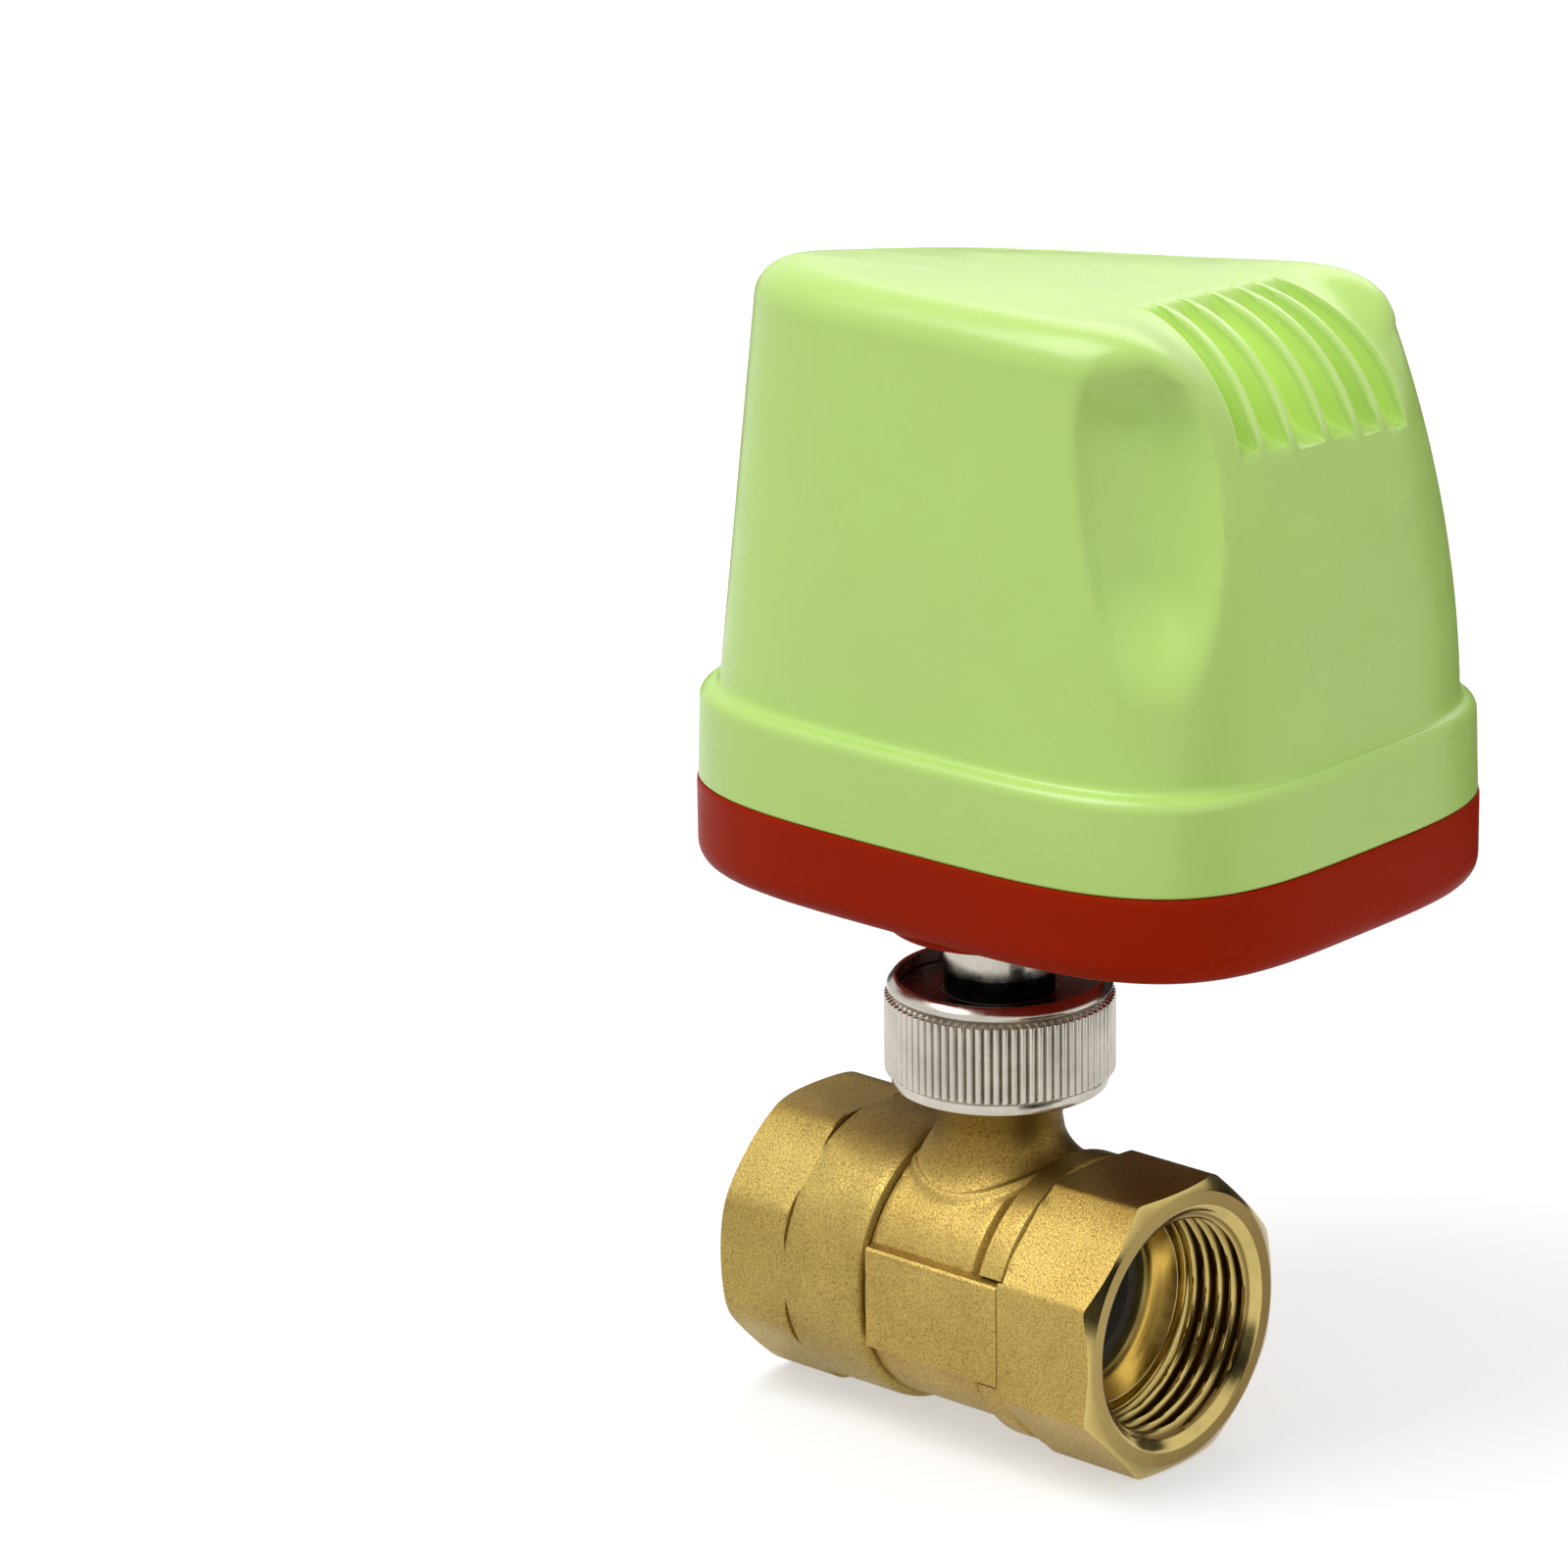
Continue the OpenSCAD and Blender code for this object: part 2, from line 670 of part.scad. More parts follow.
module coupling_nut() color("#c9c5b9") {
    ridge = 360 / knurl_count;
    rim_r = nut_r - 0.55;
    difference() {
        union() {
            translate([0, 0, nut_bottom]) rotate_extrude() polygon([
                [0, 0], [rim_r - 0.5, 0], [rim_r, 0.5], [rim_r, nut_height - 0.6],
                [rim_r - 0.6, nut_height], [0, nut_height]
            ]);
            translate([0, 0, knurl_bottom]) linear_extrude(knurl_top - knurl_bottom)
                polygon([for (i = [0:knurl_count - 1], step = [0:1])
                    (step == 0 ? nut_r : nut_r - knurl_depth)
                    * [cos((i + step / 2) * ridge), sin((i + step / 2) * ridge)]]);
        }
        translate([0, 0, nut_bottom - 1]) cylinder(r = nut_lip_r, h = nut_lip + 2);
        translate([0, 0, nut_lip_top]) cylinder(r = nut_bore_r, h = nut_height);
        translate([0, 0, nut_top - 0.5]) cylinder(r1 = nut_bore_r, r2 = nut_bore_r + 0.5, h = 0.5 + eps);
    }
}

module coupling_gasket() color("#2b2b2b") {
    translate([0, 0, neck_top]) tube(neck_r - wide, stem_r + 0.6, gasket_t);
}

module adapter_sleeve() color("#bdb9ad") {
    bottom_bore = sleeve_seat - sleeve_bottom;
    difference() {
        union() {
            translate([0, 0, sleeve_bottom])
                cylinder(r = coupling_thread_r, h = sleeve_ring_top - sleeve_bottom);
            translate([0, 0, sleeve_ring_top]) cylinder(r = sleeve_r, h = boss_bottom - sleeve_ring_top);
            translate([0, 0, boss_bottom]) cylinder(r = spigot_sleeve_r, h = sleeve_top - boss_bottom);
        }
        translate([0, 0, sleeve_bottom - 1]) cylinder(r = socket_r, h = bottom_bore + 1);
        cylinder(r = sleeve_bore_r, h = sleeve_top + 1);
        translate([0, 0, circlip_z]) tube(spigot_sleeve_r + 1, circlip_groove_r, circlip_t);
    }
}

module sleeve_circlip() color("#8e8e8c") {
    opening = 2.4;
    difference() {
        translate([0, 0, circlip_z + slip]) tube(circlip_r, circlip_groove_r + slip, circlip_t - 2 * slip);
        translate([-opening / 2, 0, circlip_z - 1]) cube([opening, circlip_r + 1, circlip_t + 2]);
    }
}

// Housing

module at_cover_screws() {
    for (side = [-1, 1], end = [-1, 1])
        translate([side * screw_x, housing_y + end * screw_y, 0]) children();
}

module base_housing() color("#8c2410") {
    difference() {
        union() {
            difference() {
                loft([
                    outline_ring(base_bottom, 1.6), outline_ring(base_bottom + 0.7, 0.75),
                    outline_ring(base_bottom + 1.8, 0.2), outline_ring(base_bottom + 3.3, 0),
                    outline_ring(base_top, 0)
                ]);
                translate([0, 0, floor_top]) linear_extrude(base_height)
                    polygon(outline(base_wall + 0.3, base_wall + 0.3));
            }
            translate([0, 0, boss_bottom]) cylinder(r = boss_r, h = boss_height + 1);
            at_cover_screws() translate([0, 0, floor_top - eps])
                cylinder(r = screw_boss_r, h = base_top - floor_top + eps);
            translate([0, idler_y, floor_top - eps])
                cylinder(r = idler_hub_r, h = output_gear_z - floor_top - loose);
        }
        translate([0, 0, base_top - gasket_t]) linear_extrude(gasket_t + 1) gasket_outline(0);
        translate([0, 0, boss_bottom - 1]) cylinder(r = spigot_sleeve_r + slip, h = base_height);
        translate([0, idler_y, floor_top]) cylinder(r = idler_axle_r + slip, h = base_height);
        at_cover_screws() translate([0, 0, base_bottom - 1])
            cylinder(r = screw_hole_r, h = base_height + 2);
        at_cover_screws() translate([0, 0, base_bottom - 1])
            cylinder(r = screw_head_r + wide, h = screw_seat_z - base_bottom + 1);
        translate([gland_x, gland_y, base_bottom - 1])
            cylinder(r = gland_thread_r + slip, h = floor_t + 2);
    }
}

// Flat ring where the cover presses on the base, drawn in by a clearance on both sides
module gasket_outline(clearance) {
    outer_in = base_wall / 2 + clearance;
    inner_in = base_wall + 0.3 - clearance;
    difference() {
        polygon(outline(outer_in, outer_in));
        polygon(outline(inner_in + (clearance > 0 ? 0 : 1), inner_in + (clearance > 0 ? 0 : 1)));
        if (clearance > 0)
            for (side = [-1, 1], end = [-1, 1])
                translate([side * screw_x, housing_y + end * screw_y]) circle(r = screw_boss_r + loose);
    }
}

module cover_gasket() color("#1e1e1e") {
    translate([0, 0, base_top - gasket_t]) linear_extrude(gasket_t) gasket_outline(slip);
}

module cover() color("#a9d56c") {
    difference() {
        union() {
            difference() {
                union() {
                    cover_band();
                    loft(skin_rings(0));
                }
                translate([0, 0, base_top - 1]) linear_extrude(band_height + 1)
                    polygon(outline(skin_t, skin_t));
                cover_cavity();
                louvre_slots();
            }
            at_cover_screws() translate([0, 0, base_top]) cylinder(r = screw_boss_r, h = cover_boss_height);
        }
        at_cover_screws() translate([0, 0, base_top - 1])
            cylinder(r = screw_r + slip, h = cover_boss_height - 0.5);
    }
}

// Lower band of the cover with its rounded upper edge
module cover_band() {
    loft([
        outline_ring(base_top, 0.15), outline_ring(band_top - 1.2, band_inset),
        outline_ring(band_top - 0.4, band_inset + 0.4), outline_ring(band_top, band_inset + 1.2)
    ]);
}

// Room inside the cover, held back behind the louvre slots
module cover_cavity() {
    slot_room = louvre_depth + cover_wall;
    difference() {
        loft(skin_rings(cover_wall));
        difference() {
            translate([0, 0, cover_top - louvre_low - 4]) cube([half_w, housing_d, louvre_low + 4]);
            loft(skin_rings(slot_room));
        }
    }
}

module louvre_slots() {
    difference() {
        for (i = [0:len(louvre_starts) - 1])
            translate([louvre_start_x, louvre_starts[i], cover_top - louvre_low])
                rotate(louvre_angles[i]) translate([0, -louvre_widths[i] / 2, 0])
                cube([30, louvre_widths[i], 30]);
        loft(skin_rings(louvre_depth));
    }
}

module cover_screws() color("#b0b0ae") {
    at_cover_screws() {
        difference() {
            translate([0, 0, screw_seat_z - screw_head_h]) cylinder(r = screw_head_r, h = screw_head_h);
            translate([0, 0, screw_seat_z - screw_head_h - 1]) cylinder(r = 1.5, h = 1.9, $fn = 6);
        }
        translate([0, 0, screw_seat_z - 0.2]) cylinder(r = screw_r, h = screw_length);
    }
}

// Drive

module output_shaft() color("#a8a8a6") {
    bottom = sleeve_seat + 0.4;
    difference() {
        translate([0, 0, bottom]) cylinder(r = output_shaft_r, h = shaft_top - bottom);
        translate([-square_w / 2 - slip, -square_w / 2 - slip, bottom - 1])
            cube([square_w + 2 * slip, square_w + 2 * slip, square_top - bottom + 1.4]);
    }
}

module output_gear() color("#e6e0cc") {
    span = [for (a = [sector_start:sector_step:sector_end]) 2 * output_pitch_r * [cos(a), sin(a)]];
    difference() {
        union() {
            translate([0, 0, output_gear_z]) linear_extrude(output_gear_t) intersection() {
                gear_outline(output_teeth, 0);
                polygon(concat([[0, 0]], span));
            }
            translate([0, 0, output_gear_z]) cylinder(r = gear_hub_r, h = plate_z - output_gear_z - 1.6);
        }
        translate([0, 0, output_gear_z - 1]) cylinder(r = output_shaft_r + slip, h = plate_z);
    }
}

module idler_gear() color("#ded8c4") {
    gap_z = output_gear_z + output_gear_t;
    translate([0, idler_y, 0]) difference() {
        union() {
            translate([0, 0, output_gear_z]) linear_extrude(output_gear_t)
                gear_outline(pinion_teeth, 180 / pinion_teeth);
            translate([0, 0, gap_z - eps]) cylinder(r = idler_hub_r, h = plate_z - gap_z - loose);
            translate([0, 0, idler_wheel_z]) linear_extrude(idler_wheel_t) gear_outline(idler_teeth, 0);
        }
        translate([0, 0, output_gear_z - 1]) cylinder(r = idler_axle_r + slip, h = plate_z);
    }
}

module idler_axle() color("#a0a09e") {
    translate([0, idler_y, floor_top]) cylinder(r = idler_axle_r, h = plate_top - floor_top);
}

module motor_pinion() color("#c8a850") {
    translate([motor_x, idler_y, 0]) {
        translate([0, 0, idler_wheel_z]) linear_extrude(idler_wheel_t)
            gear_outline(pinion_teeth, 180 / pinion_teeth);
        translate([0, 0, idler_wheel_z]) cylinder(r = motor_shaft_r, h = plate_top - idler_wheel_z + 3);
    }
}

module at_motor_ears() {
    for (a = motor_ear_angles)
        translate([motor_x, idler_y, plate_top]) rotate(a) translate([motor_ear_reach, 0, 0]) children();
}

module gear_motor() color("#8d8f92") {
    difference() {
        union() {
            translate([motor_x, idler_y, plate_top]) rotate_extrude() polygon([
                [0, 0], [motor_r, 0], [motor_r, motor_height - 1], [motor_r - 1, motor_height],
                [0, motor_height]
            ]);
            at_motor_ears() {
                cylinder(r = motor_ear_r, h = motor_ear_t);
                translate([-motor_ear_reach + motor_r - 3, -motor_ear_r, 0])
                    cube([motor_ear_reach - motor_r + 3, 2 * motor_ear_r, motor_ear_t]);
            }
        }
        translate([motor_x, idler_y, plate_top - 1])
            cylinder(r = motor_shaft_r + slip, h = motor_shaft_depth + 1);
        at_motor_ears() translate([0, 0, -1]) cylinder(r = motor_screw_r + loose, h = 4);
    }
}

module motor_screws() color("#b5b5b3") {
    at_motor_ears() {
        translate([0, 0, motor_ear_t]) cylinder(r = 2.1, h = 1.2);
        translate([0, 0, -plate_t]) cylinder(r = motor_screw_r, h = plate_t + motor_ear_t + eps);
    }
}

module at_pillars() {
    for (side = [-1, 1], end = [-1, 1])
        translate([side * pillar_x, housing_y + end * pillar_y, 0]) children();
}

module gear_plate() color("#b9bcc0") {
    difference() {
        translate([0, 0, plate_z]) linear_extrude(plate_t) difference() {
            polygon(plate_outline());
            circle(r = bush_r + slip);
            translate([0, idler_y]) circle(r = idler_axle_r + slip);
            translate([motor_x, idler_y]) circle(r = motor_shaft_r + 1.5);
            for (y = switch_screw_places())
                translate([switch_screw_x(), y]) circle(r = switch_screw_r + slip);
        }
        at_motor_ears() translate([0, 0, -plate_t - 1]) cylinder(r = motor_screw_r + slip, h = plate_t + 2);
        at_pillars() translate([0, 0, plate_top]) plate_screw_shape(slip);
    }
}

function plate_outline() =
    [for (i = [0:outline_steps - 1])
        let (t = i * 360 / outline_steps)
        [plate_half_x * signed_power(cos(t), 0.25),
         housing_y + plate_half_y * signed_power(sin(t), 0.25)]];

module plate_pillars() color("#c2c4c6") {
    at_pillars() difference() {
        translate([0, 0, floor_top]) cylinder(r = pillar_r, h = plate_z - floor_top);
        translate([0, 0, plate_z - plate_screw_length])
            cylinder(r = plate_screw_r + slip, h = plate_screw_length);
    }
}

// Countersunk screw whose head lies flush with z = 0
module plate_screw_shape(clearance) {
    shaft_r = plate_screw_r + clearance;
    head_h = plate_head_r - plate_screw_r;
    translate([0, 0, -head_h]) cylinder(r1 = shaft_r, r2 = plate_head_r + clearance, h = head_h);
    translate([0, 0, -plate_screw_length]) cylinder(r = shaft_r, h = plate_screw_length - head_h + eps);
}

module plate_screws() color("#8b8b89") {
    at_pillars() translate([0, 0, plate_top]) plate_screw_shape(0);
}

module shaft_bush() color("#b08a4a") {
    translate([0, 0, plate_z - 1.2]) tube(bush_r, output_shaft_r + slip, plate_t + 1.2 + eps);
    translate([0, 0, plate_top]) tube(bush_r + 1.5, output_shaft_r + slip, bush_flange_t);
}

// Limit cams and switches

function switch_mid_z(level) = plate_top + (level + 0.5) * switch_size[2];

module limit_cam(level, lobe_angle) {
    translate([0, 0, switch_mid_z(level) - cam_t / 2]) {
        cylinder(r = cam_r, h = cam_t);
        intersection() {
            cylinder(r = cam_r + cam_lobe, h = cam_t);
            rotate(lobe_angle) linear_extrude(cam_t)
                polygon([[0, 0], [3 * cam_r, -1.2 * cam_r], [3 * cam_r, 1.2 * cam_r]]);
        }
    }
}

module limit_cams() color("#d9d2bd") {
    difference() {
        union() {
            limit_cam(0, 0);
            limit_cam(1, -90);
            translate([0, 0, cam_bottom])
                cylinder(r = cam_hub_r, h = switch_mid_z(1) + cam_t / 2 - cam_bottom);
        }
        translate([0, 0, plate_z]) cylinder(r = output_shaft_r + slip, h = shaft_top);
    }
}

function switch_screw_x() = switch_x + switch_size[0] - switch_screw_inset;
function switch_screw_places() = [for (end = [-1, 1])
    switch_y + end * (switch_size[1] / 2 - switch_screw_inset)];
function plunger_tip() = cam_r + cam_lobe + cam_gap;

module limit_switch(level) {
    bottom = plate_top + level * switch_size[2];
    bore_end = plunger_tip() + plunger_length + plunger_travel + wide;
    difference() {
        translate([switch_x, switch_y - switch_size[1] / 2, bottom]) cube(switch_size);
        translate([switch_x - 1, 0, switch_mid_z(level)]) rotate([0, 90, 0])
            cylinder(r = plunger_r + slip, h = bore_end - switch_x + 1);
        for (y = switch_screw_places())
            translate([switch_screw_x(), y, bottom - 1])
                cylinder(r = switch_screw_r + loose, h = switch_size[2] + 2);
    }
    for (place = [-6, 0, 6])
        translate([switch_x + switch_size[0] - eps, switch_y + place - 1.2, switch_mid_z(level) - 0.3])
            cube([3.2, 2.4, 0.6]);
}

module limit_switch_closed() color("#33363b") limit_switch(0);

module limit_switch_open() color("#33363b") limit_switch(1);

module plunger(level) {
    translate([plunger_tip(), 0, switch_mid_z(level)]) rotate([0, 90, 0]) rotate_extrude()
        polygon(concat([for (a = [0:15:90]) plunger_r * [sin(a), 1 - cos(a)]],
            [[plunger_r, plunger_length], [0, plunger_length]]));
}

module plunger_closed() color("#c23a2c") plunger(0);

module plunger_open() color("#c23a2c") plunger(1);

module switch_screws() color("#b5b5b3") {
    for (y = switch_screw_places())
        translate([switch_screw_x(), y, 0]) {
            translate([0, 0, plate_z]) cylinder(r = switch_screw_r, h = switch_top - plate_z + eps);
            translate([0, 0, switch_top]) cylinder(r = switch_head_r, h = switch_head_h);
        }
}

module circuit_board() color("#2f6b3c") {
    translate([board_x, board_y - board_size[1] / 2, plate_top]) cube(board_size);
}

module terminal_block() color("#3f7fb0") {
    bottom = plate_top + 2.4;
    difference() {
        translate([board_x - terminal_size[0], board_y, bottom]) cube(terminal_size);
        for (i = [0:2])
            translate([board_x - terminal_size[0] / 2, board_y + terminal_size[1] * (i + 0.5) / 3,
                bottom + terminal_size[2] - 2]) cylinder(r = 1.6, h = 3);
    }
}

module capacitor() color("#c8b060") {
    translate([board_x - capacitor_length, board_y + terminal_size[1] / 2, plate_top + board_size[2] - 5.5])
        rotate([0, 90, 0]) cylinder(r = capacitor_r, h = capacitor_length);
}

// Cable inlet

module hexagon(flats, height) {
    cylinder(r = flats / 2 / cos(30), h = height, $fn = 6);
}

module cable_gland() color("#2d2f31") {
    translate([gland_x, gland_y, 0]) difference() {
        union() {
            translate([0, 0, base_bottom - gland_drop]) hexagon(gland_flats, gland_drop);
            translate([0, 0, base_bottom - eps])
                cylinder(r = gland_thread_r, h = gland_top - base_bottom + eps);
        }
        translate([0, 0, base_bottom - gland_drop - 1])
            cylinder(r = gland_bore_r, h = gland_drop + base_height);
    }
}

module gland_locknut() color("#34373a") {
    translate([gland_x, gland_y, floor_top]) difference() {
        rotate(30) hexagon(locknut_flats, locknut_t);
        translate([0, 0, -1]) cylinder(r = gland_thread_r + slip, h = locknut_t + 2);
    }
}

valve_body();
end_cap();
ball();
seat_ring_port();
seat_ring_cap();
cap_seal();
valve_stem();
stem_orings();
thrust_washer();
retaining_ring();
coupling_nut();
coupling_gasket();
adapter_sleeve();
sleeve_circlip();
base_housing();
cover();
cover_gasket();
cover_screws();
output_shaft();
output_gear();
limit_cams();
shaft_bush();
idler_gear();
idler_axle();
gear_motor();
motor_pinion();
motor_screws();
gear_plate();
plate_pillars();
plate_screws();
limit_switch_closed();
limit_switch_open();
plunger_closed();
plunger_open();
switch_screws();
circuit_board();
terminal_block();
capacitor();
cable_gland();
gland_locknut();
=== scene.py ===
"""Looks of a motorized ball valve: brass body and end cap, knurled nickel nut, red base and green cover.

Shapes are worked out in millimetres on numpy grids and made into meshes in metres.
X runs along the pipe towards the front port, Y to the back, Z up, with the ball's centre at the origin.
"""
import math

import bpy
import numpy as np
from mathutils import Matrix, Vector


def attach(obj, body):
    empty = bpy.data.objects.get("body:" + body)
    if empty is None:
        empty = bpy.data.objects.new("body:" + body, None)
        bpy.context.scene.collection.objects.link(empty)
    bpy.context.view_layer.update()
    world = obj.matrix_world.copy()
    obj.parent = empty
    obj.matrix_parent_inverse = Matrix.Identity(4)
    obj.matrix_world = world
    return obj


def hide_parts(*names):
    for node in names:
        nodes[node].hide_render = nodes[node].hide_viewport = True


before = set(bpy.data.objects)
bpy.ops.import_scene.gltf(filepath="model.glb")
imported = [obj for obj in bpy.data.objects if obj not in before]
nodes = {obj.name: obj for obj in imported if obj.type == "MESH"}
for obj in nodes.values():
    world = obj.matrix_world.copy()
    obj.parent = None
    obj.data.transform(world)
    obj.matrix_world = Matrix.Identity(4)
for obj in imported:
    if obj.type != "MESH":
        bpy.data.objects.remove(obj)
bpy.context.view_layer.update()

MM = 0.001

# Housing: half width, half depth, middle and exponent of its plan, its heights, its walls, the places of
# its screws, of the cable gland and of the idler's axle, and the radii of the holes in its floor
HALF_W, HALF_D, MID_Y, SQUARE = 39.6, 33.0, 15.0, 3.8
FLOOR_BOTTOM, FLOOR_TOP, BASE_TOP, BAND_TOP, COVER_TOP = 44.2, 46.7, 54.0, 64.6, 112.4
COVER_WALL, BAND_WALL = 2.4, 2.8
SCREWS = [(x, MID_Y + y) for x in (-31.0, 31.0) for y in (-22.0, 22.0)]
GLAND = (12.0, 36.0)
IDLER = (0.0, 24.0)
SHAFT_HOLE_R, GLAND_HOLE_R, SCREW_HEAD_R, SCREW_HOLE_R = 5.45, 6.05, 2.9, 1.55

# Top of the cover: its fall to the back for each millimetre, and how that changes with x, then the least
# radius of its rounded edge and how much that grows towards the right
TOP_FALL, TOP_TWIST = 0.0685, 0.00226
EDGE_R, EDGE_GROWTH = 4.6, 1.6

# Hollow in the near corner: its foot, rise and depth, then its direction and half widths in degrees
HOLLOW_LOW, HOLLOW_RISE, HOLLOW_DEPTH = 73.7, 37.3, 5.0
HOLLOW_WAY, HOLLOW_LEFT, HOLLOW_RIGHT = -38.9, 15.5, 12.6

# Shoulder under the louvres: outermost x, reach back in x, heights of its foot and crown, and exponent
SHOULDER_X, SHOULDER_REACH, SHOULDER_FOOT, SHOULDER_CROWN, SHOULDER_POWER = 34.2, 24.0, 88.0, 112.3, 2.29

# Louvres: the polar angles between which their fan is worked out, the place of the slots' upper ends and
# their length, then the foot of each fin in plan and the way it runs, from the near edge to the far edge
FAN_START, FAN_END = -62.0, 70.0
LOUVRE_X, LOUVRE_Z, LOUVRE_RUN = 16.0, 112.8, 30.2
FIN_FOOT_X = np.array([32.6, 32.7, 33.0, 33.0, 33.1, 33.1, 32.6])
FIN_FOOT_Y = np.array([1.0, 4.6, 9.7, 15.5, 20.8, 25.1, 29.6])
FIN_TURN = np.radians([-10, -8, -4, 0, 4, 8, 12])
FIN_HALF = 0.38
SLOT_DEPTH = 3.3

# Brass body and end cap: reaches of the two faces, outer radii, thread, inner radii, neck, seam and pad
FRONT_REACH, CAP_REACH = 26.0, 28.0
BARREL_R, COLLAR_R, FLATS, FACE_R = 15.3, 16.3, 16.0, 15.45
THREAD_R, THREAD_RISE, THREAD_PITCH = 12.06, 1.16, 1.814
CAVITY_R, FLOW_R, POCKET_R = 12.95, 9.4, 11.6
NECK_R, NECK_TOP, NECK_FILLET, NECK_FOOT = 6.9, 29.0, 4.2, 11.1
SEAM_X = -7.0
PAD_TOP, PAD_LOW, PAD_Y, PAD_EASE = 6.3, -5.5, 15.9, 0.25


# Grids and meshes

def smooth(value):
    """Smoothstep 3v² − 2v³ of a value held between 0 and 1."""
    v = np.clip(value, 0.0, 1.0)
    return v * v * (3.0 - 2.0 * v)


class Piece:
    """Grids of points gathered into one mesh, each face with the number of its finish."""

    def __init__(self):
        self.points, self.quads, self.tris, self.quad_finish, self.tri_finish = [], [], [], [], []
        self.tones = []
        self.count = 0

    def rows(self, grid, finish=0, loop=False, flip=False, tone=0.0):
        """Joins each row of the grid to the next and each column to the next, round to the first.
        With loop the last row joins the first, otherwise both end rows close on their own middle.
        Rows that climb an axis with columns anticlockwise about it face outwards; flip turns them.
        Tone is kept as an attribute, from −1 in recesses to 1 on crests: painted light and shade."""
        count, cols = grid.shape[:2]
        finish = np.broadcast_to(finish, (count,))
        r = np.arange(count if loop else count - 1)[:, None]
        c = np.arange(cols)[None, :]
        nxt = (r + 1) % count
        quads = np.stack(np.broadcast_arrays(r * cols + c, r * cols + (c + 1) % cols,
                                             nxt * cols + (c + 1) % cols, nxt * cols + c), -1).reshape(-1, 4)
        points = [grid.reshape(-1, 3)]
        tris = []
        if not loop:
            points += [grid[0].mean(0)[None], grid[-1].mean(0)[None]]
            ring = np.arange(cols)
            following = (ring + 1) % cols
            last = (count - 1) * cols
            tris = [np.stack([following, ring, np.full(cols, count * cols)], -1),
                    np.stack([last + ring, last + following, np.full(cols, count * cols + 1)], -1)]
        tris = np.concatenate(tris) if tris else np.zeros((0, 3), int)
        if flip:
            quads, tris = quads[:, ::-1], tris[:, ::-1]
        self.points.append(np.concatenate(points))
        self.tones += [np.broadcast_to(tone, grid.shape[:2]).ravel(), np.zeros(2 if not loop else 0)]
        self.quads.append(quads + self.count)
        self.tris.append(tris + self.count)
        self.quad_finish.append(np.repeat(finish[:len(r)], cols))
        self.tri_finish.append(np.repeat(finish[[0, -1]], len(tris) // 2))
        self.count += sum(len(p) for p in points)
        return self

    def build(self, name, finishes, sharp=32):
        """Makes the mesh object, smooth except along edges bent by more than the sharp angle."""
        points = np.concatenate(self.points) * MM
        quads, tris = np.concatenate(self.quads), np.concatenate(self.tris)
        mesh = bpy.data.meshes.new(name)
        mesh.vertices.add(len(points))
        mesh.vertices.foreach_set("co", points.astype(np.float32).ravel())
        tones = mesh.attributes.new("tone", "FLOAT", "POINT")
        tones.data.foreach_set("value", np.concatenate(self.tones).astype(np.float32))
        corners = np.concatenate([quads.ravel(), tris.ravel()]).astype(np.int32)
        starts = np.concatenate([np.arange(len(quads)) * 4, len(quads) * 4 + np.arange(len(tris)) * 3])
        mesh.loops.add(len(corners))
        mesh.loops.foreach_set("vertex_index", corners)
        mesh.polygons.add(len(starts))
        mesh.polygons.foreach_set("loop_start", starts.astype(np.int32))
        for finish in finishes:
            mesh.materials.append(finish)
        order = np.concatenate(self.quad_finish + self.tri_finish).astype(np.int32)
        mesh.polygons.foreach_set("material_index", order)
        mesh.update(calc_edges=True)
        mesh.validate()
        mesh.polygons.foreach_set("use_smooth", np.ones(len(mesh.polygons), bool))
        mesh.set_sharp_from_angle(angle=math.radians(sharp))
        obj = bpy.data.objects.new(name, mesh)
        bpy.context.scene.collection.objects.link(obj)
        return obj


def eased(profile, steps=4):
    """A profile of (radius, place, ease) corners: each corner with ease becomes a quadratic curve
    (1−t)²·u + 2t(1−t)·p + t²·v between points u and v at that distance on its two sides."""
    out = []
    count = len(profile)
    t = np.linspace(0, 1, steps + 1)[:, None]
    for i, (r, z, ease) in enumerate(profile):
        p = np.array([r, z], float)
        if not ease:
            out.append(p[None])
            continue
        before = np.array(profile[(i - 1) % count][:2], float) - p
        after = np.array(profile[(i + 1) % count][:2], float) - p
        u = p + before * ease / np.linalg.norm(before)
        v = p + after * ease / np.linalg.norm(after)
        hold_u = p + before * min(1.5 * ease / np.linalg.norm(before), 0.5)
        hold_v = p + after * min(1.5 * ease / np.linalg.norm(after), 0.5)
        out += [hold_u[None], (1 - t) ** 2 * u + 2 * t * (1 - t) * p + t ** 2 * v, hold_v[None]]
    return np.concatenate(out)


def ring(r, a, z, centre=(0.0, 0.0)):
    """Points about an upright axis at radius r, angle a and height z: x = r·cos a, y = r·sin a."""
    r, a, z = np.broadcast_arrays(r, a, z)
    return np.stack([centre[0] + r * np.cos(a), centre[1] + r * np.sin(a), z], -1)


def turned(profile, columns=96, centre=(0.0, 0.0)):
    """A profile of (radius, height) turned about an upright axis."""
    return ring(profile[:, 0:1], np.radians(np.arange(columns) * 360 / columns), profile[:, 1:2], centre)


def post(radius, low, high, centre, columns=48):
    """A plain closed cylinder, used only to cut holes."""
    return Piece().rows(turned(np.array([[radius, low], [radius, high]]), columns, centre))


